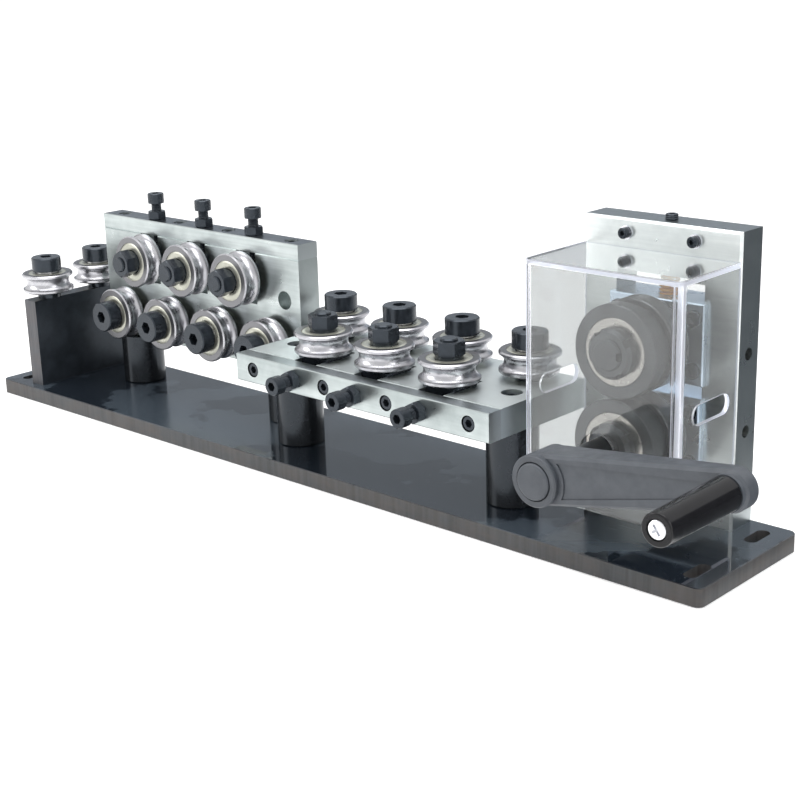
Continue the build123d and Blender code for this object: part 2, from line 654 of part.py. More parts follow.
def bearing_block(label, plane, pocket):
    """Block in the tower's window: flanged body, rear plate and a bush."""
    bore = shaft_radius + bush_thickness
    corners = [(sx * block_screw_x, sz * block_screw_z) for sx in (-1, 1) for sz in (-1, 1)]
    body_width = window_width - 2 * block_clearance
    with BuildPart() as body:
        with BuildSketch(at(plane, z=-block_front)):
            Rectangle(block_flange_width, block_height)
        extrude(amount=block_front - block_seam)
        chamfer(body.faces().sort_by(Axis.Y)[0].edges(), block_chamfer)
        with BuildSketch(at(plane, z=-block_seam)):
            Rectangle(body_width, block_height)
        extrude(amount=block_seam - flange_front)
        with BuildSketch(at(plane, z=-block_front)):
            Circle(bore)
            with Locations(*corners):
                Circle(bar_screw_radius + screw_fit)
        extrude(amount=block_front - flange_front, mode=Mode.SUBTRACT)
        with BuildSketch(at(plane, z=-block_front)):
            with Locations(*corners):
                Circle(block_screw_head_radius + base_screw_hole_fit)
        extrude(amount=-block_screw_sink, mode=Mode.SUBTRACT)
        if pocket:
            with BuildSketch(Plane(origin=(tower_mid_x, tower_mid_y,
                                           plane.origin.Z + block_height / 2))):
                Circle(spring_radius + spring_wire / 2 + spring_side_gap)
            extrude(amount=-spring_pocket_depth, mode=Mode.SUBTRACT)
    with BuildPart() as rear_plate:
        with BuildSketch(at(plane, z=-block_rear)):
            Rectangle(block_flange_width, block_height)
            Circle(bore, mode=Mode.SUBTRACT)
            with Locations(*corners):
                Circle(bar_screw_radius + screw_fit, mode=Mode.SUBTRACT)
        extrude(amount=block_rear - flange_front)
    save(label, body.part, rear_plate.part, ring(plane, -block_rear, -block_front, bore,
                                            shaft_radius + shaft_fit))
    length = block_rear - block_front - block_screw_sink - thread_end_gap
    return [socket_screw(at(plane, x, z, -block_front - block_screw_sink), bar_screw_radius,
                         length, block_screw_head_radius, block_screw_head_height,
                         block_screw_socket) for x, z in corners]


lower_screws = bearing_block("lower_bearing_block", drive_plane, False)
upper_screws = bearing_block("upper_bearing_block", idler_plane, True)
bridge_screws = [socket_screw(at(tower_face, x, z, bridge_washer_thickness), bridge_screw_radius,
                              tower_thickness + bridge_washer_thickness,
                              bridge_screw_head_radius, bridge_screw_head_height,
                              bridge_screw_socket) for x, z in bridge_screw_places]
bridge_washers = [ring(at(tower_face, x, z), 0, bridge_washer_thickness, bridge_washer_radius,
                       bridge_screw_radius + screw_fit) for x, z in bridge_screw_places]
save("upper_block_screws", *upper_screws)
save("tower_screws", *lower_screws, *bridge_screws, *bridge_washers)

# Spring over the upper block, between its pocket and the pad under the pressure screw
pad_top = window_top + spring_well_depth
pad_bottom = pad_top - pad_thickness
spring_bottom = idler_axis_z + block_height / 2 - spring_pocket_depth + pad_gap
spring_height = pad_bottom - pad_gap - spring_bottom
coil_step = (spring_height - spring_wire) / (4 * spring_turns)


def coil_point(quarter):
    """Point on the spring's centre line after so many quarter turns."""
    angle = quarter * pi / 2
    return Vector(tower_mid_x + spring_radius * cos(angle), tower_mid_y + spring_radius * sin(angle),
                  spring_bottom + spring_wire / 2 + coil_step * quarter)


def coil_direction(quarter):
    """Direction of the spring's centre line after so many quarter turns."""
    angle = quarter * pi / 2
    return Vector(-sin(angle) * spring_radius, cos(angle) * spring_radius,
                  coil_step * 2 / pi).normalized()


def biarc(start, start_direction, end, end_direction):
    """Two arcs that join two points along the two given directions."""
    span = end - start
    total = start_direction + end_direction
    bend = 2 * (1 - start_direction.dot(end_direction))
    reach = (sqrt(span.dot(total)**2 + bend * span.dot(span)) - span.dot(total)) / bend
    first, last = start + start_direction * reach, end - end_direction * reach
    middle = (first + last) / 2
    TangentArc(start, middle, tangent=start_direction)
    TangentArc(middle, end, tangent=last - first)


quarters = 4 * spring_turns
coil_start, coil_end = coil_point(0), coil_point(quarters)
with BuildPart() as pressure_spring:
    with BuildLine() as coil:
        Line(coil_start - coil_direction(0) * spring_wire, coil_start)
        for quarter in range(quarters):
            biarc(coil_point(quarter), coil_direction(quarter),
                  coil_point(quarter + 1), coil_direction(quarter + 1))
        Line(coil_end, coil_end + coil_direction(quarters) * spring_wire)
    with BuildSketch(Plane(origin=coil.line @ 0, z_dir=coil.line % 0)):
        Circle(spring_wire / 2)
    sweep()
save("pressure_spring", pressure_spring.part)
samples = [coil.line @ (i / spring_samples) for i in range(spring_samples + 1)]
half_turn = spring_samples // (2 * spring_turns)
spring_gap = min((first - second).length - spring_wire
                 for i, first in enumerate(samples) for second in samples[i + half_turn:])
print("pressure spring: least gap to itself", round(spring_gap, 2), "mm")

with BuildPart() as pressure_pad:
    with BuildSketch(Plane(origin=(tower_mid_x, tower_mid_y, pad_bottom))):
        Circle(pad_radius)
    extrude(amount=pad_thickness)
    chamfer(pressure_pad.edges(), pad_chamfer)
save("pressure_pad", pressure_pad.part)

screw_top = tower_top + pressure_screw_overhang
with BuildPart() as pressure_screw:
    with BuildSketch(Plane(origin=(tower_mid_x, tower_mid_y, pad_top))):
        Circle(screw_radius)
    extrude(amount=screw_top - pad_top)
    chamfer(pressure_screw.edges().group_by(Axis.Z)[-1], pressure_screw_chamfer)
    with BuildSketch(Plane(origin=(tower_mid_x, tower_mid_y, screw_top))):
        RegularPolygon(hexagon(screw_radius), 6)
    extrude(amount=-screw_radius, mode=Mode.SUBTRACT)
save("pressure_screw", pressure_screw.part)


# ---------------------------------------------------------------- wheels and shafts
def ring_nut(plane):
    """Slotted round nut in front of a wheel."""
    front = ring_nut_thickness - wheel_front_y
    with BuildPart() as nut:
        with BuildSketch(at(plane, z=-wheel_front_y)):
            Circle(ring_nut_radius)
        extrude(amount=ring_nut_thickness)
        chamfer(nut.edges().group_by(Axis(plane.origin, plane.z_dir))[-1], ring_nut_bevel)
        with BuildSketch(at(plane, z=front)):
            Circle(shaft_radius + shaft_fit)
            with PolarLocations(ring_nut_radius, ring_nut_slots, start_angle=ring_nut_turn):
                Rectangle(2 * ring_nut_slot_depth, ring_nut_slot_width)
        extrude(amount=-ring_nut_thickness, mode=Mode.SUBTRACT)
    return nut.part


def wheel(name, plane):
    """Two discs and a grooved core on a flanged hub."""
    groove_front = wheel_front_y + front_disc_width
    groove_rear = groove_front + wheel_groove_width
    bore = hub_radius + disc_fit
    with BuildPart() as front_disc:
        with BuildSketch(at(plane, z=-groove_front)):
            Circle(wheel_radius)
            Circle(bore, mode=Mode.SUBTRACT)
        extrude(amount=front_disc_width)
        chamfer(front_disc.edges().filter_by(GeomType.CIRCLE).group_by(SortBy.RADIUS)[-1],
                disc_chamfer)
        with BuildSketch(at(plane, z=-wheel_front_y)):
            Circle(hub_flange_radius + disc_fit)
        extrude(amount=-hub_flange_thickness, mode=Mode.SUBTRACT)
    with BuildPart() as rear_disc:
        with BuildSketch(at(plane, z=-wheel_rear_y)):
            Circle(wheel_radius)
            Circle(bore, mode=Mode.SUBTRACT)
        extrude(amount=rear_disc_width)
        chamfer(rear_disc.edges().filter_by(GeomType.CIRCLE).group_by(SortBy.RADIUS)[-1],
                disc_chamfer)
    core = ring(plane, -groove_rear, -groove_front, wheel_core_radius, bore)
    save(f"{name}_wheel", front_disc.part, core, rear_disc.part)
    flange = -wheel_front_y - hub_flange_thickness
    with BuildPart() as hub:
        add(spindle(plane, (-wheel_rear_y, flange, hub_radius),
                    (flange, -wheel_front_y, hub_flange_radius)))
        with BuildSketch(at(plane, z=-wheel_rear_y)):
            Circle(shaft_radius + shaft_fit)
        extrude(amount=wheel_rear_y - wheel_front_y, mode=Mode.SUBTRACT)
        chamfer(hub.edges().filter_by(GeomType.CIRCLE).group_by(Axis.Y)[0], hub_chamfer)
    save(f"{name}_hub", hub.part)


nut_front = ring_nut_thickness - wheel_front_y      # local z of a ring nut's front
bearing_steps = ((-block_rear, -wheel_front_y, shaft_radius),
                 (shoulder_gap - block_front, -wheel_rear_y, shaft_shoulder_radius))
for name, plane in (("drive", drive_plane), ("idler", idler_plane)):
    wheel(name, plane)

drive_end = -crank_front_y - cap_seat_depth - cap_to_shaft
drive_shaft = spindle(drive_plane, *bearing_steps, (-wheel_front_y, nut_front, shaft_radius),
                      (nut_front, drive_end, shaft_neck_radius))
idler_end = nut_front + idler_end_overhang
with BuildPart() as idler_shaft:
    add(spindle(idler_plane, *bearing_steps, (-wheel_front_y, idler_end, shaft_radius)))
    chamfer(idler_shaft.edges().group_by(Axis(idler_plane.origin, idler_plane.z_dir))[-1],
            shaft_chamfer)
    with BuildSketch(at(idler_plane, z=idler_end)):
        with Locations((shaft_radius, 0)):
            Rectangle(2 * keyway_depth, keyway_width)
    extrude(amount=-ring_nut_thickness, mode=Mode.SUBTRACT)
save("drive_shaft", drive_shaft, ring_nut(drive_plane))
save("idler_shaft", idler_shaft.part, ring_nut(idler_plane))

# ---------------------------------------------------------------- clear guard
guard_front = tower_front - guard_depth
guard_mid_y = tower_front - guard_depth / 2
guard_top = wire_height + guard_top_rise
guard_bottom = wire_height + guard_bottom_rise
guard_height = guard_top - guard_bottom
with BuildPart() as guard:
    with BuildSketch(Plane.XY.offset(guard_bottom)):
        with Locations((tower_mid_x, guard_mid_y)):
            Rectangle(tower_width, guard_depth)
    extrude(amount=guard_height)
    fillet(guard.edges().filter_by(Axis.Z).group_by(Axis.Y)[0], guard_bend_radius)
    chamfer(guard.faces().sort_by(Axis.Z)[-1].edges(), guard_edge_chamfer)
    with BuildSketch(Plane.XY.offset(guard_bottom)) as inner:
        with Locations((tower_mid_x, guard_mid_y + guard_sheet)):
            Rectangle(tower_width - 2 * guard_sheet, guard_depth)
        fillet(inner.vertices().group_by(Axis.Y)[0], guard_bend_radius - guard_sheet)
    extrude(amount=guard_height - guard_sheet, mode=Mode.SUBTRACT)
    with BuildSketch(Plane.YZ.offset(tower_x)):
        with Locations((guard_slot_y, wire_height)):
            SlotOverall(guard_slot_length, guard_slot_height)
    extrude(amount=tower_width, mode=Mode.SUBTRACT)
    with BuildSketch(at(drive_plane, z=-guard_front)):
        Circle(guard_hole_radius)
    extrude(amount=-guard_sheet, mode=Mode.SUBTRACT)
save("guard", guard.part)

# ---------------------------------------------------------------- crank
# Seen along the arm's edge: local x along the arm, local y towards the front from its rear
arm_side_plane = Plane(origin=at(crank_plane, z=-crank_rear_y).origin, x_dir=crank_plane.x_dir,
                       z_dir=crank_plane.x_dir.cross(crank_plane.z_dir))
with BuildPart() as crank_arm:
    with BuildSketch(at(crank_plane, z=-crank_rear_y)):
        Circle(crank_arm_root_radius)
        with Locations((crank_length, 0)):
            Circle(crank_arm_tip_radius)
        make_hull()
    extrude(amount=crank_rear_y - crank_face_y)
    chamfer(crank_arm.faces().sort_by(Axis.Y)[0].edges(), crank_bevel)
    with BuildSketch(arm_side_plane):
        with BuildLine():
            Polyline((0, 0), (crank_length, crank_rear_y - crank_tip_rear_y),
                     (2 * crank_length, crank_rear_y - crank_tip_rear_y), (2 * crank_length, 0),
                     close=True)
        make_face()
    extrude(amount=crank_hub_radius, both=True, mode=Mode.SUBTRACT)
    with BuildSketch(at(crank_plane, z=-crank_rear_y)):
        Circle(crank_hub_radius)
    extrude(amount=crank_rear_y - crank_front_y)
    chamfer(crank_arm.faces().sort_by(Axis.Y)[0].edges(), crank_hub_chamfer)
    with BuildSketch(at(crank_plane, x=crank_length, z=-crank_tip_rear_y)):
        Circle(collar_radius)
    extrude(amount=crank_tip_rear_y - crank_face_y + collar_height)
    with BuildSketch(at(crank_plane, z=-crank_face_y)):
        with BuildLine():
            Polyline((0, -crank_panel_root_width / 2), (crank_panel_end, -crank_panel_end_width / 2),
                     (crank_panel_end, crank_panel_end_width / 2), (0, crank_panel_root_width / 2),
                     close=True)
        make_face()
        Circle(crank_panel_start, mode=Mode.SUBTRACT)
    extrude(amount=-crank_panel_depth, mode=Mode.SUBTRACT)
    with BuildSketch(at(crank_plane, z=-crank_front_y)):
        Circle(cap_radius + cap_groove)
    extrude(amount=-cap_seat_depth, mode=Mode.SUBTRACT)
    with BuildSketch(at(crank_plane, z=-crank_rear_y)):
        Circle(shaft_neck_radius + shaft_fit)
    extrude(amount=drive_end + crank_rear_y, mode=Mode.SUBTRACT)
    with BuildSketch(at(crank_plane, x=crank_length, z=-crank_tip_rear_y)):
        Circle(grip_screw_radius + screw_fit)
    extrude(amount=crank_tip_rear_y - crank_face_y + collar_height, mode=Mode.SUBTRACT)
with BuildPart() as crank_cap:
    with BuildSketch(at(crank_plane, z=-cap_seat_depth - crank_front_y)):
        Circle(cap_radius)
    extrude(amount=cap_seat_depth + cap_crown)
    fillet(crank_cap.edges().group_by(Axis.Y)[0], cap_crown)
save("crank_arm", crank_arm.part, crank_cap.part)

grip_start = collar_height - crank_face_y + grip_gap
grip_end = grip_start + grip_length
head_seat = grip_end - grip_screw_recess - grip_screw_head_height
with BuildPart() as crank_grip:
    with BuildSketch(at(grip_plane, z=grip_start)):
        Circle(grip_root_radius)
    with BuildSketch(at(grip_plane, z=grip_end)):
        Circle(grip_end_radius)
    loft()
    fillet(crank_grip.edges().group_by(Axis.Y)[0], grip_end_fillet)
    fillet(crank_grip.edges().group_by(Axis.Y)[-1], grip_root_fillet)
    with BuildSketch(at(grip_plane, z=grip_start)):
        Circle(grip_screw_radius + grip_screw_fit)
    extrude(amount=grip_length, mode=Mode.SUBTRACT)
    with BuildSketch(at(grip_plane, z=head_seat)):
        Circle(grip_screw_head_radius + grip_gap)
    extrude(amount=grip_length, mode=Mode.SUBTRACT)
save("crank_grip", crank_grip.part)
screw_seat = head_seat + grip_gap
screw_face = screw_seat + grip_screw_head_height
with BuildPart() as grip_screw:
    add(spindle(grip_plane, (grip_screw_rear_gap - crank_tip_rear_y, screw_seat,
                             grip_screw_radius),
                (screw_seat, screw_face, grip_screw_head_radius)))
    fillet(grip_screw.edges().group_by(Axis.Y)[0], grip_screw_crown)
    with BuildSketch(at(grip_plane, z=screw_face)):
        Rectangle(cross_span, cross_width, rotation=cross_turn)
        Rectangle(cross_width, cross_span, rotation=cross_turn)
    extrude(amount=-cross_depth, mode=Mode.SUBTRACT)
save("grip_screw", grip_screw.part)
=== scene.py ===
"""Hand-cranked bench wire straightener, dressed for a plain studio."""
import json
import logging
from dataclasses import dataclass
from enum import Enum
from math import pi, radians
from typing import Callable

import bpy
import bmesh
from mathutils import Euler, Matrix, Vector


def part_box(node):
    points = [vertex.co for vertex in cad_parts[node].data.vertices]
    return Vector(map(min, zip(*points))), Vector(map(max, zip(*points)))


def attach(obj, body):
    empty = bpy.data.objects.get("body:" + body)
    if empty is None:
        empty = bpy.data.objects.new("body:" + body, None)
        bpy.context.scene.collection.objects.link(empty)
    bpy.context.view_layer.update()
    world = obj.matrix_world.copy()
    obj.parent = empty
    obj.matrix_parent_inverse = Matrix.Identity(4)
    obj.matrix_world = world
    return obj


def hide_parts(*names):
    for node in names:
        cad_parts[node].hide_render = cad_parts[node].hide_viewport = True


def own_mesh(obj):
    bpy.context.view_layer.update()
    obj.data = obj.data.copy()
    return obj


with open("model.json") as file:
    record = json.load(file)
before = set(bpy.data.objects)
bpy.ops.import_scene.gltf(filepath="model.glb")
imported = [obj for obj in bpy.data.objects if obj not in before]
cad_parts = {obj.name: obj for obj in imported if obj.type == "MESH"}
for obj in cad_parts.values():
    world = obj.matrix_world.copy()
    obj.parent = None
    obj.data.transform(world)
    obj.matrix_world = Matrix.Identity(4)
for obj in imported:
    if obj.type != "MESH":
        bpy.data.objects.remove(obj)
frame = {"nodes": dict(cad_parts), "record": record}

logging.basicConfig(level=logging.INFO, format="%(levelname)s %(message)s")
log = logging.getLogger("straightener")

MM = 0.001
FAR = 1.0                           # metres, further along a screw than any thread goes
SCREW_HEAD_HEIGHT = 8.0 * MM        # of the adjusting screws
PRESSURE_SCREW_CHAMFER = 0.6 * MM
Colour = tuple[float, float, float]
Point = tuple[float, float, float]
Span = tuple[float, float]
ACRYLIC_IOR = 1.49
NO_LIGHT: Colour = (0.0, 0.0, 0.0)
UNIT: Span = (0.0, 1.0)
PLANE_RING = (0, 1, 3, 2)           # a new plane's vertices, in order round it


class Axis(Enum):
    """Directions in which a roller's axle or a screw's head points."""

    FRONT = Vector((0.0, -1.0, 0.0))
    UP = Vector((0.0, 0.0, 1.0))


# ------------------------------------------------------------------ modelling helpers
def deselect_all() -> None:
    """Leave object mode with nothing selected."""
    if bpy.context.object and bpy.context.object.mode != "OBJECT":
        bpy.ops.object.mode_set(mode="OBJECT")
    bpy.ops.object.select_all(action="DESELECT")


def make_active(obj: bpy.types.Object) -> None:
    """Select one object alone and make it active."""
    deselect_all()
    obj.select_set(True)
    bpy.context.view_layer.objects.active = obj


def name_new(name: str) -> bpy.types.Object:
    """Name the object that an operator has just added."""
    obj = bpy.context.object
    obj.name = name
    obj.data.name = name
    return obj


def select_where(obj: bpy.types.Object, kind: str, wanted: Callable[..., bool]) -> None:
    """Select faces or vertices in edit mode by a test.

    Args:
        obj: The object, already in edit mode.
        kind: FACE or VERT.
        wanted: Says of each face or vertex whether it is to be selected.
    """
    mesh = bmesh.from_edit_mesh(obj.data)
    bpy.ops.mesh.select_mode(type=kind)
    bpy.ops.mesh.select_all(action="DESELECT")
    for element in (mesh.faces if kind == "FACE" else mesh.verts):
        element.select_set(wanted(element))
    mesh.select_flush_mode()
    bmesh.update_edit_mesh(obj.data)


def apply_modifiers(obj: bpy.types.Object) -> None:
    """Apply every modifier in order."""
    make_active(obj)
    for modifier in list(obj.modifiers):
        bpy.ops.object.modifier_apply(modifier=modifier.name)


def tidy_mesh(obj: bpy.types.Object, merge: float = 0.01 * MM) -> None:
    """Merge doubles and turn all faces outwards.

    Args:
        obj: The object to tidy.
        merge: Distance under which points are one, in metres.
    """
    make_active(obj)
    bpy.ops.object.mode_set(mode="EDIT")
    bpy.ops.mesh.select_all(action="SELECT")
    bpy.ops.mesh.remove_doubles(threshold=merge)
    bpy.ops.mesh.normals_make_consistent(inside=False)
    bpy.ops.object.mode_set(mode="OBJECT")


def smooth(obj: bpy.types.Object, angle: float) -> None:
    """Shade smooth where faces meet at less than an angle in degrees."""
    make_active(obj)
    bpy.ops.object.shade_smooth_by_angle(angle=radians(angle))


def place_copy(obj: bpy.types.Object, name: str, middle: Point, axis: Axis) -> bpy.types.Object:
    """Copy a piece that is modelled about +Z at the origin, turn it and move it into place.

    Args:
        obj: The piece to copy.
        name: Name of the copy.
        middle: Where the origin goes, in metres.
        axis: Where +Z goes.

    Returns:
        The copy, whose object sits at the origin and whose mesh is in place.
    """
    deselect_all()
    copy = obj.copy()
    copy.data = obj.data.copy()
    copy.name = name
    copy.data.name = name
    bpy.context.collection.objects.link(copy)
    turn = Axis.UP.value.rotation_difference(axis.value).to_matrix().to_4x4()
    copy.matrix_world = Matrix.Translation(middle) @ turn
    make_active(copy)
    bpy.ops.object.transform_apply(location=True, rotation=True, scale=True)
    return copy


def centre(node: str) -> Vector:
    """Middle of a CAD node's box."""
    low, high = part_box(node)
    return (Vector(low) + Vector(high)) / 2


def dress(obj: bpy.types.Object, material: bpy.types.Material) -> None:
    """Give every material slot of an object the same material."""
    if not obj.material_slots:
        obj.data.materials.append(material)
    for place in obj.material_slots:
        place.material = material


def finish_piece(obj: bpy.types.Object, body: str, material: bpy.types.Material) -> None:
    """Dress a new piece, and say what it rides on.

    Args:
        obj: The new piece.
        body: CAD body that carries it.
        material: Its material.
    """
    dress(obj, material)
    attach(obj, body)
    log.info("piece %s on %s, %d faces", obj.name, body, len(obj.data.polygons))


# ------------------------------------------------------------------ shader node groups
class ShaderTree:
    """A shader node tree, with short ways to add nodes."""

    def __init__(self, tree: bpy.types.NodeTree) -> None:
        """Take hold of a tree."""
        self.tree = tree
        self.nodes = tree.nodes
        self.links = tree.links

    def math(self, kind: str, *values: object) -> bpy.types.NodeSocket:
        """Add a Math node of a kind on values, each a socket or a number."""
        node = self.nodes.new("ShaderNodeMath")
        node.operation = kind
        for place, value in zip(node.inputs, values):
            if isinstance(value, (int, float)):
                place.default_value = value
            else:
                self.links.new(value, place)
        return node.outputs[0]

    def remap(self, value: bpy.types.NodeSocket, source: Span, target: Span = UNIT) -> bpy.types.NodeSocket:
        """Stretch a value from one span onto another, clamped."""
        node = self.nodes.new("ShaderNodeMapRange")
        ends = node.inputs
        ends["From Min"].default_value, ends["From Max"].default_value = source
        ends["To Min"].default_value, ends["To Max"].default_value = target
        self.links.new(value, ends["Value"])
        return node.outputs["Result"]

    def split(self, kind: str, output: str) -> bpy.types.bpy_prop_collection:
        """X, Y and Z of one output of a new node, such as a place or a normal."""
        source = self.nodes.new(kind)
        parts = self.nodes.new("ShaderNodeSeparateXYZ")
        self.links.new(source.outputs[output], parts.inputs["Vector"])
        return parts.outputs

    def normal(self) -> bpy.types.bpy_prop_collection:
        """X, Y and Z of the surface's direction."""
        return self.split("ShaderNodeNewGeometry", "Normal")

    def place(self) -> bpy.types.bpy_prop_collection:
        """X, Y and Z of the place on the object."""
        return self.split("ShaderNodeTexCoord", "Object")

    def seen_by_eye(self) -> bpy.types.NodeSocket:
        """1 for what the camera sees, straight or in metal and glass, and 0 for other light."""
        path = self.nodes.new("ShaderNodeLightPath").outputs
        seen = self.math("MAXIMUM", path["Is Camera Ray"], path["Is Glossy Ray"])
        return self.math("MAXIMUM", seen, path["Is Transmission Ray"])


class Effect(ShaderTree):
    """A shared shader effect: a node group with named inputs and outputs, built once."""

    name = "effect"
    inputs: dict[str, float] = {}
    outputs: dict[str, str] = {}

    def __init__(self) -> None:
        """Build the group with its sockets."""
        super().__init__(bpy.data.node_groups.new(self.name, "ShaderNodeTree"))
        sockets = self.tree.interface
        for key, value in self.inputs.items():
            socket = sockets.new_socket(key, in_out="INPUT", socket_type="NodeSocketFloat")
            socket.default_value = value
        for key, kind in self.outputs.items():
            sockets.new_socket(key, in_out="OUTPUT", socket_type=kind)
        self.entry = self.nodes.new("NodeGroupInput").outputs
        self.exit = self.nodes.new("NodeGroupOutput").inputs
        self.build()

    def build(self) -> None:
        """Wire the effect."""

    def give(self, key: str, value: bpy.types.NodeSocket) -> None:
        """Link a value to an output of the group."""
        self.links.new(value, self.exit[key])

    def noise(self, vector: bpy.types.NodeSocket, scale: object, detail: float,
              rough: float = 0.55) -> bpy.types.NodeSocket:
        """Add a noise texture on a vector and return its value."""
        node = self.nodes.new("ShaderNodeTexNoise")
        self.links.new(vector, node.inputs["Vector"])
        if isinstance(scale, (int, float)):
            node.inputs["Scale"].default_value = scale
        else:
            self.links.new(scale, node.inputs["Scale"])
        node.inputs["Detail"].default_value = detail
        node.inputs["Roughness"].default_value = rough
        return node.outputs["Fac"]

    def object_vector(self, stretch: Point = (1.0, 1.0, 1.0)) -> bpy.types.NodeSocket:
        """Object coordinates, stretched along the axes."""
        where = self.nodes.new("ShaderNodeTexCoord")
        mapping = self.nodes.new("ShaderNodeMapping")
        mapping.inputs["Scale"].default_value = stretch
        self.links.new(where.outputs["Object"], mapping.inputs["Vector"])
        return mapping.outputs["Vector"]


class Grinding(Effect):
    """Fine grinding lines along X, with a slow drift from dull to bright."""

    name = "grinding"
    inputs = {"Fineness": 420.0, "Drift": 14.0}
    outputs = {"Lines": "NodeSocketFloat", "Patches": "NodeSocketFloat"}
    line_stretch: Point = (0.03, 1.0, 1.0)
    line_span: Span = (0.30, 0.70)
    patch_stretch: Point = (0.6, 1.0, 1.4)
    patch_span: Span = (0.30, 0.72)

    def build(self) -> None:
        """Wire long thin noise for the lines and broad noise for the patches."""
        fine = self.noise(self.object_vector(self.line_stretch), self.entry["Fineness"], detail=2.0)
        self.give("Lines", self.remap(fine, self.line_span))
        broad = self.noise(self.object_vector(self.patch_stretch), self.entry["Drift"], detail=5.0,
                           rough=0.62)
        self.give("Patches", self.remap(broad, self.patch_span))


class Spangle(Effect):
    """The soft crystal mottle of a plated surface."""

    name = "spangle"
    inputs = {"Size": 60.0}
    outputs = {"Mottle": "NodeSocketFloat", "Grain": "NodeSocketFloat"}
    mottle_span: Span = (0.32, 0.68)
    grain_fineness: float = 2600.0

    def build(self) -> None:
        """Wire a soft noise and a fine grain."""
        where = self.object_vector()
        soft = self.noise(where, self.entry["Size"], detail=4.0, rough=0.6)
        self.give("Mottle", self.remap(soft, self.mottle_span))
        self.give("Grain", self.noise(where, self.grain_fineness, detail=2.0))


class Facing(Effect):
    """How far a face looks along Y or Z, whichever way, and whether it looks up or right."""

    name = "facing"
    outputs = {"Y": "NodeSocketFloat", "Z": "NodeSocketFloat", "Up": "NodeSocketFloat",
               "Right": "NodeSocketFloat"}
    square_on: Span = (0.88, 0.98)

    def build(self) -> None:
        """Wire the size of two parts of the normal, and two signed ones."""
        normal = self.normal()
        for key in ("Y", "Z"):
            self.give(key, self.math("ABSOLUTE", normal[key]))
        # Up and Right mask where the plates take painted light and shade
        for key, part in (("Up", "Z"), ("Right", "X")):
            self.give(key, self.remap(normal[part], self.square_on))


class SawMarks(Effect):
    """Upright saw streaks and rusty blotches on a cut edge."""

    name = "saw_marks"
    inputs = {"Fineness": 260.0}
    outputs = {"Streaks": "NodeSocketFloat", "Rust": "NodeSocketFloat"}
    streak_stretch: Point = (1.0, 1.0, 0.06)
    streak_span: Span = (0.36, 0.66)
    rust_stretch: Point = (1.0, 1.0, 2.5)
    rust_fineness: float = 26.0
    rust_span: Span = (0.42, 0.66)

    def build(self) -> None:
        """Wire noise drawn out upright, and broad blotches."""
        streaks = self.noise(self.object_vector(self.streak_stretch), self.entry["Fineness"],
                             detail=4.0)
        self.give("Streaks", self.remap(streaks, self.streak_span))
        blotches = self.noise(self.object_vector(self.rust_stretch), self.rust_fineness,
                              detail=6.0, rough=0.7)
        self.give("Rust", self.remap(blotches, self.rust_span))


class Stains(Effect):
    """Thin oil marks, scuffs and dust specks."""

    name = "stains"
    inputs = {"Spread": 9.0, "Specks": 420.0}
    outputs = {"Oil": "NodeSocketFloat", "Dust": "NodeSocketFloat", "Scuffs": "NodeSocketFloat"}
    oil_span: Span = (0.50, 0.525)
    dust_span: Span = (0.70, 0.75)
    scuff_stretch: Point = (0.15, 1.0, 0.3)
    scuff_fineness: float = 240.0
    scuff_span: Span = (0.60, 0.72)

    def build(self) -> None:
        """Wire broad islands, small specks and thin scuffs along X."""
        where = self.object_vector()
        broad = self.noise(where, self.entry["Spread"], detail=8.0, rough=0.6)
        self.give("Oil", self.remap(broad, self.oil_span))
        specks = self.noise(where, self.entry["Specks"], detail=2.0, rough=0.8)
        self.give("Dust", self.remap(specks, self.dust_span))
        scuffs = self.noise(self.object_vector(self.scuff_stretch), self.scuff_fineness,
                            detail=3.0, rough=0.7)
        self.give("Scuffs", self.remap(scuffs, self.scuff_span))


class SheetEdges(Effect):
    """Where the guard's painted highlight goes: cut edges and bends of a box bent from clear sheet, open
    below.
    """

    name = "sheet_edges"
    inputs = {"Middle_X": 0.0, "Half_X": 1.0, "Top": 1.0, "Sheet": 3.0 * MM}
    outputs = {"Edge": "NodeSocketFloat"}
    bend_lean: float = 0.20         # lesser part of the normal, some way into a bend
    bend_span: Span = (0.08, 0.03)  # from that lean, where the painted highlight line fades out and is full
    level: float = 0.9              # upward part of the normal on the top's face
    slack: float = 0.05 * MM

    def build(self) -> None:
        """Wire the bends, the rim round the top and the walls cut through the sides."""
        entry, normal, place = self.entry, self.normal(), self.place()
        away = self.math("ABSOLUTE", normal["X"])
        along = self.math("ABSOLUTE", normal["Y"])
        lean = self.math("SUBTRACT", self.math("MINIMUM", away, along), self.bend_lean)
        bend = self.remap(self.math("ABSOLUTE", lean), self.bend_span)
        below = self.math("SUBTRACT", entry["Top"], place["Z"])
        flat = self.math("ABSOLUTE", normal["Z"])
        rim = self.math("MULTIPLY", self.math("LESS_THAN", below, entry["Sheet"]),
                        self.math("LESS_THAN", flat, self.level))
        across = self.math("SUBTRACT", place["X"], entry["Middle_X"])
        depth = self.math("SUBTRACT", entry["Half_X"], self.math("ABSOLUTE", across))
        inside = self.math("GREATER_THAN", depth, self.slack)
        short = self.math("LESS_THAN", depth, self.math("SUBTRACT", entry["Sheet"], self.slack))
        cut = self.math("MULTIPLY", self.math("MULTIPLY", inside, short),
                        self.math("GREATER_THAN", below, entry["Sheet"]))
        self.give("Edge", self.math("MAXIMUM", self.math("MAXIMUM", bend, rim), cut))


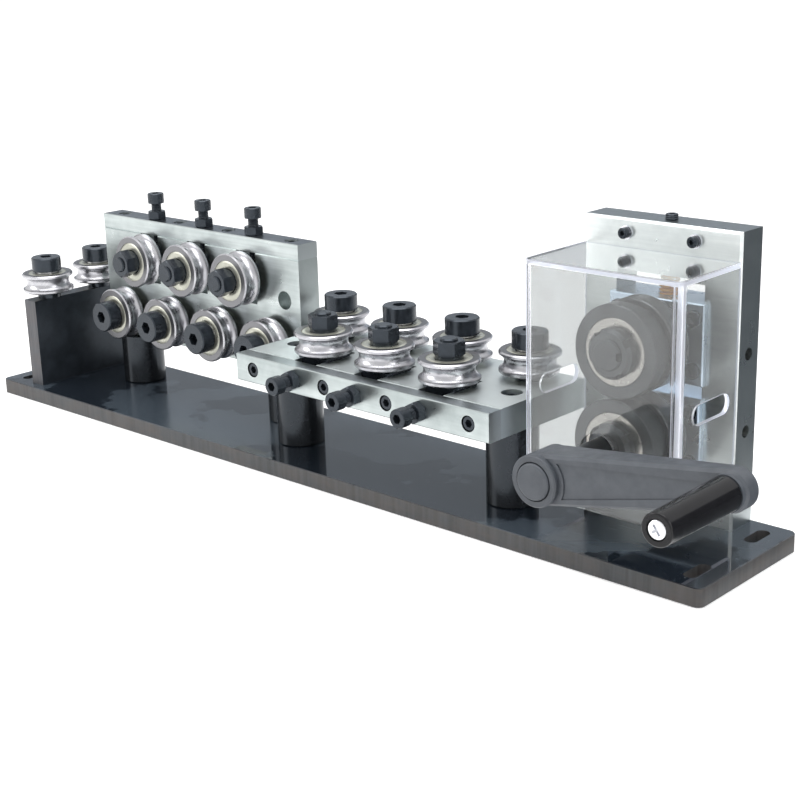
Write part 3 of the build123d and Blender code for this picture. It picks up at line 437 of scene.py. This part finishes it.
class Thread(Effect):
    """Screw thread ridges at a pitch, between two places along the screw."""

    name = "thread"
    inputs = {"Along": 0.0, "Pitch": 1.25 * MM, "Low": 0.0, "High": 1.0}
    outputs = {"Height": "NodeSocketFloat"}

    def build(self) -> None:
        """Wire a sine from 0 to 1 along the screw, masked to its threaded length."""
        entry = self.entry
        phase = self.math("MULTIPLY", self.math("DIVIDE", entry["Along"], entry["Pitch"]), 2 * pi)
        ridge = self.math("MULTIPLY_ADD", self.math("SINE", phase), 0.5, 0.5)
        above = self.math("GREATER_THAN", entry["Along"], entry["Low"])
        below = self.math("LESS_THAN", entry["Along"], entry["High"])
        inside = self.math("MULTIPLY", above, below)
        self.give("Height", self.math("MULTIPLY", ridge, inside))


EFFECTS: dict[str, Effect] = {}


def effect(kind: type[Effect]) -> Effect:
    """The one node group of a kind of effect."""
    if kind.name not in EFFECTS:
        EFFECTS[kind.name] = kind()
    return EFFECTS[kind.name]


# ------------------------------------------------------------------ finishes
class Wiring(ShaderTree):
    """A new material's node tree round its Principled shader."""

    def __init__(self, name: str) -> None:
        """Start a material."""
        self.material = bpy.data.materials.new(name)
        self.material.use_nodes = True
        super().__init__(self.material.node_tree)
        self.shader = self.nodes["Principled BSDF"]

    def set(self, **values: object) -> None:
        """Set the shader's sockets, with underscores for spaces."""
        for key, value in values.items():
            self.shader.inputs[key.replace("_", " ")].default_value = value

    def group(self, kind: type[Effect], **values: float) -> bpy.types.Node:
        """Place a shared effect with its own values."""
        node = self.nodes.new("ShaderNodeGroup")
        node.node_tree = effect(kind).tree
        for key, value in values.items():
            node.inputs[key].default_value = value
        return node

    def between(self, mask: bpy.types.NodeSocket, low: float, high: float) -> bpy.types.NodeSocket:
        """A number that follows a mask from low to high."""
        return self.remap(mask, UNIT, (low, high))

    def mix(self, mask: bpy.types.NodeSocket, first: object, second: object) -> bpy.types.NodeSocket:
        """A colour that follows a mask from the first to the second."""
        node = self.nodes.new("ShaderNodeMix")
        node.data_type = "RGBA"
        self.links.new(mask, node.inputs["Factor"])
        for place, value in ((node.inputs["A"], first), (node.inputs["B"], second)):
            if isinstance(value, tuple):
                place.default_value = (*value, 1.0)
            else:
                self.links.new(value, place)
        return node.outputs["Result"]

    def cover(self, under: object, over: object, mask: bpy.types.NodeSocket,
              share: float) -> bpy.types.NodeSocket:
        """Lay a colour over another where a mask is, up to a share."""
        return self.mix(self.between(mask, 0.0, share), under, over)

    def larger(self, first: bpy.types.NodeSocket, second: bpy.types.NodeSocket) -> bpy.types.NodeSocket:
        """The larger of two values."""
        return self.math("MAXIMUM", first, second)

    def bump(self, height: bpy.types.NodeSocket, strength: float, distance: float) -> None:
        """Bend the shading by a height, after any bump that is there already."""
        node = self.nodes.new("ShaderNodeBump")
        node.inputs["Strength"].default_value = strength
        node.inputs["Distance"].default_value = distance
        self.links.new(height, node.inputs["Height"])
        if self.shader.inputs["Normal"].is_linked:
            self.links.new(self.fed("Normal"), node.inputs["Normal"])
        self.feed("Normal", node.outputs["Normal"])

    def feed(self, key: str, value: bpy.types.NodeSocket) -> None:
        """Link a value to a shader socket."""
        self.links.new(value, self.shader.inputs[key])

    def fed(self, key: str) -> bpy.types.NodeSocket:
        """The value that a shader socket is linked to."""
        return self.shader.inputs[key].links[0].from_socket


@dataclass(frozen=True)
class PlatedPlate:
    """Ground steel plate under bright zinc, with a mottled, streaky shine, and painted light and shade on
    faces that look up or right.
    """

    name: str = "plated_plate"
    bright: Colour = (0.66, 0.71, 0.70)
    dull: Colour = (0.31, 0.35, 0.35)
    smoothest: float = 0.27
    roughest: float = 0.37
    drift: float = 11.0
    line_depth: float = 0.02 * MM
    up_painted_lighting: Colour = (0.50, 0.55, 0.57)       # painted light and shade on the faces that look up, for how light falls on them
    right_painted_lighting: Colour = (0.34, 0.38, 0.38)    # painted light and shade on the faces that look right
    painted_lighting_share: float = 0.0                        # share of that painted light and shade on both, from none to all
    mottle_size: float = 70.0
    mottle_cover: float = 0.35
    line_cover: float = 0.40
    line_relief: float = 0.10

    def wire(self) -> Wiring:
        """Wire the plate's material."""
        wiring = Wiring(self.name)
        wiring.set(Metallic=1.0)
        grinding = wiring.group(Grinding, Drift=self.drift)
        spangle = wiring.group(Spangle, Size=self.mottle_size)
        facing = wiring.group(Facing)
        patch = wiring.mix(grinding.outputs["Patches"], self.dull, self.bright)
        face = wiring.cover(patch, self.bright, spangle.outputs["Mottle"], self.mottle_cover)
        face = wiring.cover(face, self.dull, grinding.outputs["Lines"], self.line_cover)
        # painted light and shade: faces that look up or right take a flat colour for how light falls on
        # them
        if self.painted_lighting_share:
            face = wiring.cover(face, self.up_painted_lighting, facing.outputs["Up"], self.painted_lighting_share)
            face = wiring.cover(face, self.right_painted_lighting, facing.outputs["Right"], self.painted_lighting_share)
        wiring.feed("Base Color", face)
        wiring.feed("Roughness", wiring.between(spangle.outputs["Mottle"],
                                                self.roughest, self.smoothest))
        wiring.bump(grinding.outputs["Lines"], self.line_relief, self.line_depth)
        return wiring


@dataclass(frozen=True)
class BluedPlate:
    """Dark blued steel with oil marks and dust, brownish where it was sawn."""

    name: str = "blued_plate"
    face: Colour = (0.046, 0.059, 0.074)
    oil: Colour = (0.011, 0.015, 0.021)
    dust: Colour = (0.22, 0.23, 0.24)
    sawn: Colour = (0.052, 0.056, 0.060)
    dark_streak: Colour = (0.028, 0.030, 0.033)
    rust: Colour = (0.085, 0.062, 0.048)
    dust_cover: float = 0.7
    rust_cover: float = 0.4
    shine: float = 0.60
    dry_roughness: float = 0.19
    oiled_roughness: float = 0.05
    sawn_roughness: float = 0.5
    scuff_relief: float = 0.12
    scuff_depth: float = 0.06 * MM

    def wire(self) -> Wiring:
        """Wire the base plate's material."""
        wiring = Wiring(self.name)
        wiring.set(Metallic=0.0, Specular_IOR_Level=self.shine)
        stains = wiring.group(Stains)
        face = wiring.mix(stains.outputs["Oil"], self.face, self.oil)
        dusty = wiring.cover(face, self.dust, stains.outputs["Dust"], self.dust_cover)
        marks = wiring.group(SawMarks)
        streaky = wiring.mix(marks.outputs["Streaks"], self.sawn, self.dark_streak)
        rusty = wiring.cover(streaky, self.rust, marks.outputs["Rust"], self.rust_cover)
        edge = wiring.between(wiring.group(Facing).outputs["Z"], 1.0, 0.0)
        wiring.feed("Base Color", wiring.mix(edge, dusty, rusty))
        polish = wiring.between(stains.outputs["Oil"], self.dry_roughness, self.oiled_roughness)
        wiring.feed("Roughness", wiring.larger(polish, wiring.between(edge, 0.0, self.sawn_roughness)))
        wiring.bump(stains.outputs["Scuffs"], self.scuff_relief, self.scuff_depth)
        return wiring


@dataclass(frozen=True)
class BlackOxide:
    """Black oxide on screws, posts and axles, with a thin oily sheen."""

    name: str = "oiled_oxide"
    deep: Colour = (0.011, 0.0135, 0.017)
    worn: Colour = (0.020, 0.0245, 0.031)
    roughness: float = 0.20
    sheen: Colour = (0.78, 0.88, 1.0)
    shine: float = 0.52
    mottle_size: float = 110.0
    smoother: float = 0.02
    rougher: float = 0.03
    grain_relief: float = 0.05
    grain_depth: float = 0.03 * MM

    def wire(self) -> Wiring:
        """Wire the fasteners' material."""
        wiring = Wiring(self.name)
        wiring.set(Metallic=0.0, Specular_IOR_Level=self.shine, Specular_Tint=(*self.sheen, 1.0))
        spangle = wiring.group(Spangle, Size=self.mottle_size)
        wiring.feed("Base Color", wiring.mix(spangle.outputs["Mottle"], self.deep, self.worn))
        wiring.feed("Roughness", wiring.between(spangle.outputs["Mottle"],
                                                self.roughness - self.smoother,
                                                self.roughness + self.rougher))
        wiring.bump(spangle.outputs["Grain"], self.grain_relief, self.grain_depth)
        return wiring


@dataclass(frozen=True)
class ThreadedOxide(BlackOxide):
    """Black oxide screw with a thread along one axis, between two places on it."""

    name: str = "threaded_oxide"
    axis: str = "Z"
    low: float = -FAR
    high: float = FAR
    ridge: float = 0.5 * MM
    ridge_relief: float = 0.8

    def wire(self) -> Wiring:
        """Wire the black oxide and add the thread."""
        wiring = super().wire()
        thread = wiring.group(Thread, Low=self.low, High=self.high)
        wiring.links.new(wiring.place()[self.axis], thread.inputs["Along"])
        wiring.bump(thread.outputs["Height"], self.ridge_relief, self.ridge)
        return wiring


@dataclass(frozen=True)
class CutOxide(BlackOxide):
    """Black oxide block whose front and rear ends show bare saw marks."""

    name: str = "cut_oxide"
    roughness: float = 0.30
    sawn: Colour = (0.105, 0.105, 0.110)
    groove: Colour = (0.055, 0.055, 0.060)
    rust: Colour = (0.105, 0.080, 0.068)
    rust_cover: float = 0.4
    sawn_roughness: float = 0.5
    saw_fineness: float = 420.0

    def wire(self) -> Wiring:
        """Wire the black oxide and lay the bare ends over it."""
        wiring = super().wire()
        marks = wiring.group(SawMarks, Fineness=self.saw_fineness)
        bare = wiring.mix(marks.outputs["Streaks"], self.sawn, self.groove)
        bare = wiring.cover(bare, self.rust, marks.outputs["Rust"], self.rust_cover)
        end = wiring.group(Facing).outputs["Y"]
        wiring.feed("Base Color", wiring.mix(end, wiring.fed("Base Color"), bare))
        rough = wiring.between(end, 0.0, self.sawn_roughness)
        wiring.feed("Roughness", wiring.larger(wiring.fed("Roughness"), rough))
        return wiring


@dataclass(frozen=True)
class WasheredOxide(BlackOxide):
    """Black oxide screws through bright washers that lie on the tower's face."""

    name: str = "washered_oxide"
    washer: Colour = (0.78, 0.78, 0.82)
    thickness: float = 0.8 * MM     # of a washer
    slack: float = 0.05 * MM
    lowest: float = 0.165           # height in metres under which a screw has no washer

    def wire(self) -> Wiring:
        """Wire the black oxide and make its washers bright."""
        wiring = super().wire()
        place = wiring.place()
        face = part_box("tower_plate")[0][1]
        washer = wiring.math("GREATER_THAN", place["Y"], face - self.thickness - self.slack)
        for kind, key, limit in (("LESS_THAN", "Y", face + self.slack),
                                 ("GREATER_THAN", "Z", self.lowest)):
            washer = wiring.math("MULTIPLY", washer, wiring.math(kind, place[key], limit))
        wiring.feed("Base Color", wiring.mix(washer, wiring.fed("Base Color"), self.washer))
        wiring.feed("Metallic", washer)
        return wiring


@dataclass(frozen=True)
class BareMetal:
    """Turned or polished metal in one tint, with slight smudges."""

    name: str
    tint: Colour
    shade: Colour
    smoothest: float
    roughest: float
    smudge: float = 70.0
    grain_relief: float = 0.06
    grain_depth: float = 0.02 * MM

    def wire(self) -> Wiring:
        """Wire a bare metal."""
        wiring = Wiring(self.name)
        wiring.set(Metallic=1.0)
        spangle = wiring.group(Spangle, Size=self.smudge)
        wiring.feed("Base Color", wiring.mix(spangle.outputs["Mottle"], self.tint, self.shade))
        wiring.feed("Roughness", wiring.between(spangle.outputs["Mottle"],
                                                self.smoothest, self.roughest))
        wiring.bump(spangle.outputs["Grain"], self.grain_relief, self.grain_depth)
        return wiring


@dataclass(frozen=True)
class TurnedRace:
    """Polished track with duller ground faces, on a roller that turns about one axis."""

    name: str
    axis: str
    track: Colour = (0.56, 0.56, 0.58)
    track_shade: Colour = (0.42, 0.42, 0.45)
    face: Colour = (0.21, 0.21, 0.22)
    smoothest: float = 0.24
    roughest: float = 0.32
    face_roughness: float = 0.38
    face_span: Span = (0.75, 0.95)      # part of the normal along the axle, from track to face
    smudge: float = 90.0
    grain_relief: float = 0.05
    grain_depth: float = 0.02 * MM

    def wire(self) -> Wiring:
        """Wire the rollers' material."""
        wiring = Wiring(self.name)
        wiring.set(Metallic=1.0)
        spangle = wiring.group(Spangle, Size=self.smudge)
        end = wiring.remap(wiring.group(Facing).outputs[self.axis], self.face_span)
        track = wiring.mix(spangle.outputs["Mottle"], self.track, self.track_shade)
        wiring.feed("Base Color", wiring.mix(end, track, self.face))
        polish = wiring.between(spangle.outputs["Mottle"], self.smoothest, self.roughest)
        wiring.feed("Roughness", wiring.larger(polish, wiring.between(end, 0.0, self.face_roughness)))
        wiring.bump(spangle.outputs["Grain"], self.grain_relief, self.grain_depth)
        return wiring


@dataclass(frozen=True)
class Moulded:
    """Moulded or painted surface with a fine grain."""

    name: str
    tint: Colour
    shade: Colour
    roughness: float
    grain: float = 0.25
    shine: float = 0.5
    metal: float = 0.0
    mottle_size: float = 110.0
    smoother: float = 0.04
    rougher: float = 0.05
    grain_depth: float = 0.06 * MM

    def wire(self) -> Wiring:
        """Wire a moulded surface."""
        wiring = Wiring(self.name)
        wiring.set(Metallic=self.metal, Specular_IOR_Level=self.shine)
        spangle = wiring.group(Spangle, Size=self.mottle_size)
        wiring.feed("Base Color", wiring.mix(spangle.outputs["Mottle"], self.tint, self.shade))
        wiring.feed("Roughness", wiring.between(spangle.outputs["Mottle"],
                                                self.roughness - self.smoother,
                                                self.roughness + self.rougher))
        wiring.bump(spangle.outputs["Grain"], self.grain, self.grain_depth)
        return wiring


@dataclass(frozen=True)
class ClearSheet:
    """Clear acrylic sheet with very slight smears, with a painted highlight and a painted glow at its bends
    and cut edges.
    """

    name: str = "clear_sheet"
    tint: Colour = (0.72, 0.735, 0.735)
    # painted highlight: a pale colour along the bends and cut edges
    edge: Colour = (0.97, 0.97, 1.0)
    painted_edge_glow: Colour = (0.84, 0.87, 1.0)        # painted glow, an emission on the bends and cut edges that stands in for light the sheet carries there
    # strength of the painted glow
    painted_glow_strength: float = 0.34
    clearness: float = 0.94
    sheet: float = 3.0 * MM
    smear_spread: float = 16.0
    smear_roughness: float = 0.03
    edge_roughness: float = 0.35

    def wire(self) -> Wiring:
        """Wire the guard's material."""
        wiring = Wiring(self.name)
        wiring.set(Metallic=0.0, IOR=ACRYLIC_IOR, Transmission_Weight=self.clearness,
                   Emission_Strength=self.painted_glow_strength)
        stains = wiring.group(Stains, Spread=self.smear_spread)
        low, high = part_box("guard")
        rim = wiring.group(SheetEdges, Middle_X=(low[0] + high[0]) / 2, Half_X=(high[0] - low[0]) / 2,
                           Top=high[2], Sheet=self.sheet).outputs["Edge"]
        # painted highlight and painted glow on the bends and cut edges
        wiring.feed("Base Color", wiring.mix(rim, self.tint, self.edge))
        wiring.feed("Emission Color", wiring.mix(rim, NO_LIGHT, self.painted_edge_glow))
        smears = wiring.between(stains.outputs["Oil"], 0.0, self.smear_roughness)
        wiring.feed("Roughness", wiring.larger(smears, wiring.between(rim, 0.0, self.edge_roughness)))
        return wiring


BUILT: dict[str, bpy.types.Material] = {}


class Finish(Enum):
    """Every finish on the machine."""

    PLATE = PlatedPlate()
    # BAR, TOWER, LEVEL_PLATE, LEVEL_BAR and END_PLATE paint light and shade on faces that look up or right:
    # darker tops on the bars and tower, a lighter top on the level plate
    BAR = PlatedPlate("plated_bar", up_painted_lighting=(0.12, 0.135, 0.16), right_painted_lighting=(0.44, 0.48, 0.49),
                      painted_lighting_share=0.9)
    TOWER = PlatedPlate("plated_tower", (0.88, 0.91, 0.90), (0.50, 0.54, 0.54),
                        up_painted_lighting=(0.19, 0.22, 0.24), right_painted_lighting=(0.46, 0.50, 0.51), painted_lighting_share=0.9)
    BASE = BluedPlate()
    OXIDE = BlackOxide()
    UPRIGHT_THREAD = ThreadedOxide(
        "upright_thread", axis="Z",
        high=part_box("upright_adjusting_screw_1")[1][2] - SCREW_HEAD_HEIGHT)
    LEVEL_THREAD = ThreadedOxide(
        "level_thread", axis="Y",
        low=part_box("level_adjusting_screw_1")[0][1] + SCREW_HEAD_HEIGHT)
    PRESSURE_THREAD = ThreadedOxide(
        "pressure_thread", axis="Z", high=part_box("pressure_screw")[1][2] - PRESSURE_SCREW_CHAMFER)
    WASHERED = WasheredOxide()
    BRACKET = CutOxide()
    POST = BlackOxide("post_oxide", (0.008, 0.009, 0.010), (0.014, 0.015, 0.017), 0.22)
    LEVEL_PLATE = PlatedPlate("plated_level", smoothest=0.40, roughest=0.50,
                              up_painted_lighting=(0.78, 0.83, 0.83), right_painted_lighting=(0.52, 0.58, 0.60), painted_lighting_share=0.8)
    LEVEL_BAR = PlatedPlate("plated_level_bar", up_painted_lighting=(0.42, 0.46, 0.48),
                            right_painted_lighting=(0.44, 0.48, 0.49), painted_lighting_share=0.8)
    END_PLATE = PlatedPlate("plated_end", up_painted_lighting=(0.62, 0.67, 0.67), right_painted_lighting=(0.36, 0.40, 0.40),
                            painted_lighting_share=0.8)
    BLOCK = PlatedPlate("bluish_zinc", (0.78, 0.90, 1.0), (0.60, 0.72, 0.88), 0.24, 0.40, 30.0)
    ROLLER = TurnedRace("level_race", "Z")
    UPRIGHT_ROLLER = TurnedRace("upright_race", "Y")
    WHEEL = BareMetal("oxided_wheel", (0.135, 0.142, 0.15), (0.10, 0.105, 0.11), 0.30, 0.40)
    NICKEL = BareMetal("bright_nickel", (0.66, 0.62, 0.57), (0.54, 0.51, 0.48), 0.20, 0.30)
    ZINC = BareMetal("zinc_plating", (0.86, 0.87, 0.90), (0.74, 0.75, 0.78), 0.16, 0.28)
    SHIELD = Moulded("roller_shield", (0.55, 0.55, 0.47), (0.42, 0.42, 0.36), 0.30, 0.10,
                     metal=0.7)
    SPRING = Moulded("spring_enamel", (1.0, 0.47, 0.04), (0.92, 0.41, 0.03), 0.30, 0.1)
    CRANK = Moulded("crank_moulding", (0.074, 0.083, 0.097), (0.056, 0.063, 0.075), 0.42, 0.30)
    GRIP = Moulded("grip_moulding", (0.006, 0.006, 0.007), (0.010, 0.010, 0.012), 0.16, 0.06,
                   shine=0.28)
    GUARD = ClearSheet()

    @property
    def material(self) -> bpy.types.Material:
        """The finish's material, built when it is first asked for."""
        if self.name not in BUILT:
            BUILT[self.name] = self.value.wire().material
        return BUILT[self.name]


SLOT_FINISH: dict[str, Finish] = {
    "blued_steel": Finish.BASE,
    "plated_steel": Finish.PLATE,
    "blue_zinc": Finish.BLOCK,
    "black_oxide": Finish.OXIDE,
    "bearing_steel": Finish.ROLLER,
    "wheel_steel": Finish.WHEEL,
    "nickel": Finish.NICKEL,
    "clear_acrylic": Finish.GUARD,
    "orange_enamel": Finish.SPRING,
    "crank_black": Finish.CRANK,
    "grip_black": Finish.GRIP,
    "bright_zinc": Finish.ZINC,
}


NODE_FINISH: dict[str, Finish] = {
    "upright_bar": Finish.BAR,
    "level_bar": Finish.LEVEL_BAR,
    "upright_plate": Finish.END_PLATE,
    "level_plate": Finish.LEVEL_PLATE,
    "tower_plate": Finish.TOWER,
    "pressure_screw": Finish.PRESSURE_THREAD,
    "entry_bracket": Finish.BRACKET,
    "support_posts": Finish.POST,
    "tower_screws": Finish.WASHERED,
}


def dress_nodes() -> None:
    """Give every CAD node the finish of its material slot, or its own."""
    for part in frame["record"]["subparts"]:
        node = part["node"]
        finish = NODE_FINISH.get(node, SLOT_FINISH[part["material_slot"]])
        if node.startswith("upright") and "roller" in node:
            finish = Finish.UPRIGHT_ROLLER
        dress(frame["nodes"][node], finish.material)


# ------------------------------------------------------------------ sub-assemblies
@dataclass
class RollerShields:
    """Pressed shields on both sides of each grooved roller."""

    outer: float = 15.7 * MM
    inner: float = 9.9 * MM
    seat: float = 7.0 * MM          # of a shield's face from the roller's middle
    lip: float = 0.9 * MM
    rise: float = 0.55 * MM
    thickness: float = 0.15 * MM
    facets: int = 72
    shading_angle: float = 50.0     # degrees

    def model(self) -> bpy.types.Object:
        """Model one pair of shields about +Z at the origin."""
        deselect_all()
        bpy.ops.mesh.primitive_circle_add(vertices=self.facets, radius=self.outer, fill_type="NGON",
                                          location=(0.0, 0.0, self.seat))
        pair = name_new("shield_pattern")
        bpy.ops.object.transform_apply(location=True)
        bpy.ops.object.mode_set(mode="EDIT")
        bpy.ops.mesh.select_all(action="SELECT")
        bpy.ops.mesh.inset(thickness=self.outer - self.inner)
        select_where(pair, "FACE", lambda face: len(face.verts) > 4)
        bpy.ops.mesh.delete(type="FACE")
        bpy.ops.mesh.select_all(action="SELECT")
        bpy.ops.mesh.inset(thickness=self.lip, use_boundary=True)
        middle = (self.outer + self.inner) / 2
        reach = (self.outer - self.inner) / 2 - self.lip
        select_where(pair, "FACE",
                     lambda face: abs(face.calc_center_median().xy.length - middle) < reach)
        bpy.ops.transform.translate(value=(0.0, 0.0, self.rise))
        bpy.ops.object.mode_set(mode="OBJECT")
        wall = pair.modifiers.new("wall", "SOLIDIFY")
        wall.thickness = self.thickness
        wall.offset = 1.0
        other = pair.modifiers.new("other side", "MIRROR")
        other.use_axis = (False, False, True)
        apply_modifiers(pair)
        smooth(pair, self.shading_angle)
        return pair

    def fit(self) -> None:
        """Copy the shields onto every roller."""
        pattern = self.model()
        for node in [name for name in frame["nodes"] if "roller" in name]:
            axis = Axis.FRONT if node.startswith("upright") else Axis.UP
            piece = place_copy(pattern, f"{node}_shields", tuple(centre(node)), axis)
            finish_piece(piece, node, Finish.SHIELD.material)
        bpy.data.objects.remove(pattern)


@dataclass
class AdjustingScrews:
    """Thread finish and knurled heads of the six adjusting screws."""

    head_radius: float = 6.5 * MM
    head_height: float = SCREW_HEAD_HEIGHT
    bevel: float = 0.8 * MM
    knurl_rise: float = 0.06 * MM       # over the plain head
    knurl_depth: float = 0.22 * MM
    wall: float = 0.4 * MM
    ridges: int = 44

    def model(self) -> bpy.types.Object:
        """Model a knurled sleeve about +Z, its middle at the origin."""
        deselect_all()
        bpy.ops.mesh.primitive_cylinder_add(vertices=2 * self.ridges, end_fill_type="NOTHING",
                                            radius=self.head_radius + self.knurl_rise,
                                            depth=self.head_height - 2 * self.bevel)
        sleeve = name_new("knurl_pattern")
        bpy.ops.object.mode_set(mode="EDIT")
        step = pi / self.ridges
        select_where(sleeve, "VERT",
                     lambda v: round(Vector((0, 1)).angle_signed(v.co.xy) / step) % 2 == 0)
        scale = 1.0 - self.knurl_depth / self.head_radius
        bpy.ops.transform.resize(value=(scale, scale, 1.0))
        bpy.ops.object.mode_set(mode="OBJECT")
        wall = sleeve.modifiers.new("wall", "SOLIDIFY")
        wall.thickness = self.wall
        wall.offset = -1.0
        apply_modifiers(sleeve)
        return sleeve

    def fit(self) -> None:
        """Thread every adjusting screw and put a knurled sleeve round its head."""
        pattern = self.model()
        for node in [name for name in frame["nodes"] if "adjusting_screw" in name]:
            low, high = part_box(node)
            middle = centre(node)
            if node.startswith("upright"):
                dress(frame["nodes"][node], Finish.UPRIGHT_THREAD.material)
                middle.z = high[2] - self.head_height / 2
                axis = Axis.UP
            else:
                dress(frame["nodes"][node], Finish.LEVEL_THREAD.material)
                middle.y = low[1] + self.head_height / 2
                axis = Axis.FRONT
            piece = place_copy(pattern, f"{node}_knurl", tuple(middle), axis)
            finish_piece(piece, node, Finish.OXIDE.material)
        bpy.data.objects.remove(pattern)


@dataclass
class PressureSpring:
    """Coil spring over the upper bearing block."""

    node: str = "pressure_spring"
    joint: str = "pressure_block_travel"
    travel: float = 5.0 * MM
    shading_angle: float = 60.0     # degrees

    def fit(self) -> None:
        """Copy the coil, tidy it, and hang it on the frame in place of the CAD spring."""
        node = frame["nodes"][self.node]
        deselect_all()
        coil = node.copy()
        coil.data = node.data.copy()
        bpy.context.collection.objects.link(coil)
        coil.parent = None
        coil.matrix_world = node.matrix_world
        coil.name = coil.data.name = "shortening_spring"
        make_active(coil)
        bpy.ops.object.transform_apply(location=True, rotation=True, scale=True)
        tidy_mesh(coil)
        smooth(coil, self.shading_angle)
        finish_piece(coil, "frame", Finish.SPRING.material)
        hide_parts(self.node)
        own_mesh(coil)


@dataclass(frozen=True)
class Lamp:
    """A soft rectangular lamp."""

    name: str
    place: Point
    target: Point
    size: Span          # width and height of its face, in metres
    power: float        # watts

    def hang(self) -> None:
        """Hang the lamp where it points at its target."""
        data = bpy.data.lights.new(self.name, "AREA")
        data.shape = "RECTANGLE"
        data.size, data.size_y = self.size
        data.energy = self.power
        lamp = bpy.data.objects.new(self.name, data)
        bpy.context.collection.objects.link(lamp)
        lamp.location = self.place
        way = Vector(self.target) - Vector(self.place)
        lamp.rotation_euler = way.to_track_quat("-Z", "Y").to_euler()


@dataclass(frozen=True)
class Card:
    """A coloured card that only reflections in the metal show."""

    name: str
    corners: tuple[Point, Point, Point, Point]      # in order round the card
    colour: Colour

    def stand(self) -> None:
        """Stand the card in the room, unseen and without a shadow."""
        deselect_all()
        bpy.ops.mesh.primitive_plane_add(size=1.0)
        card = name_new(self.name)
        for vertex, corner in zip(PLANE_RING, self.corners):
            card.data.vertices[vertex].co = corner
        wiring = Wiring(f"{self.name}_paper")
        wiring.set(Base_Color=(*self.colour, 1.0), Roughness=1.0, Specular_IOR_Level=0.0)
        dress(card, wiring.material)
        card.visible_camera = False
        card.visible_diffuse = False
        card.visible_shadow = False
        card.visible_transmission = False


LAMPS = (
    Lamp("overhead", place=(0.1, -0.2, 1.6), target=(0.0, 0.0, 0.1), size=(1.6, 1.0), power=16.0),
    Lamp("left_front", place=(-1.3, -1.3, 0.9), target=(0.0, 0.0, 0.1), size=(0.9, 1.1), power=12.0),
    Lamp("right", place=(1.7, -0.1, 0.8), target=(0.1, 0.0, 0.1), size=(0.6, 1.2), power=8.0),
)
GREY_PAPER: Colour = (0.43, 0.47, 0.52)
DARK_PAPER: Colour = (0.10, 0.11, 0.12)
CARDS = (
    Card("rear_card", ((-2.4, 0.5, 0.0), (0.3, 2.3, 0.0), (0.3, 2.3, 1.0), (-2.4, 0.5, 1.0)),
         GREY_PAPER),
    Card("floor_card", ((0.36, -0.05, 0.001), (1.3, -0.05, 0.001), (1.3, 1.6, 0.001),
                        (0.36, 1.6, 0.001)), DARK_PAPER),
    Card("right_card", ((1.1, 0.1, 0.0), (0.5, 2.2, 0.0), (0.5, 2.2, 0.5), (1.1, 0.1, 0.5)),
         DARK_PAPER),
)


@dataclass
class Studio:
    """Plain pale room, soft lamps and the photograph's camera."""

    camera_place: Point = (0.774263, -0.753982, 0.378804)
    camera_turn: Point = (72.737, 1.587, 42.617)    # degrees about X, Y and Z
    lens: float = 68.74
    sensor: float = 36.0
    nearest: float = 10.0 * MM
    sky_span: Span = (-0.2, 0.9)        # upward part of a direction, from dimmest to brightest
    sky_light: Span = (0.30, 0.95)
    floor_size: float = 40.0
    floor_drop: float = 0.5 * MM        # under the base
    floor_cuts: int = 3
    floor_colour: Colour = (0.86, 0.86, 0.86)
    floor_roughness: float = 0.9
    floor_lift: float = 0.35            # of light that only the eye sees, which makes it white

    def camera(self) -> None:
        """Set the camera where the photograph was taken from."""
        data = bpy.data.cameras.new("photograph")
        data.lens = self.lens
        data.sensor_width = self.sensor
        data.clip_start = self.nearest
        view = bpy.data.objects.new("photograph", data)
        bpy.context.collection.objects.link(view)
        view.location = self.camera_place
        view.rotation_euler = Euler([radians(angle) for angle in self.camera_turn])
        bpy.context.scene.camera = view

    def world(self) -> None:
        """White to the eye, with a soft gradient of light from above."""
        world = bpy.data.worlds.new("room")
        bpy.context.scene.world = world
        world.use_nodes = True
        tree = ShaderTree(world.node_tree)
        upward = tree.split("ShaderNodeTexCoord", "Generated")["Z"]
        white = tree.nodes.new("ShaderNodeMix")
        white.inputs["B"].default_value = 1.0
        tree.links.new(tree.seen_by_eye(), white.inputs["Factor"])
        tree.links.new(tree.remap(upward, self.sky_span, self.sky_light), white.inputs["A"])
        background = tree.nodes["Background"]
        background.inputs["Color"].default_value = (1.0, 1.0, 1.0, 1.0)
        tree.links.new(white.outputs["Result"], background.inputs["Strength"])

    def floor(self) -> None:
        """Lay a pale floor that keeps the shadow."""
        deselect_all()
        bpy.ops.mesh.primitive_plane_add(size=self.floor_size, location=(0.0, 0.0, -self.floor_drop))
        floor = name_new("studio_floor")
        bpy.ops.object.transform_apply(location=True)
        bpy.ops.object.mode_set(mode="EDIT")
        bpy.ops.mesh.subdivide(number_cuts=self.floor_cuts)
        bpy.ops.object.mode_set(mode="OBJECT")
        wiring = Wiring("pale_floor")
        wiring.set(Base_Color=(*self.floor_colour, 1.0), Roughness=self.floor_roughness)
        lift = wiring.between(wiring.seen_by_eye(), 0.0, self.floor_lift)
        wiring.set(Emission_Color=(1.0, 1.0, 1.0, 1.0))
        wiring.feed("Emission Strength", lift)
        dress(floor, wiring.material)

    def build(self) -> None:
        """Set up the room."""
        self.camera()
        self.world()
        self.floor()
        for card in CARDS:
            card.stand()
        for lamp in LAMPS:
            lamp.hang()
        bpy.context.scene.view_settings.view_transform = "Standard"
        log.info("studio ready")


def main() -> None:
    """Dress the machine and set up the studio."""
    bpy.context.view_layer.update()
    dress_nodes()
    RollerShields().fit()
    AdjustingScrews().fit()
    PressureSpring().fit()
    Studio().build()


if __name__ == "__main__":
    main()
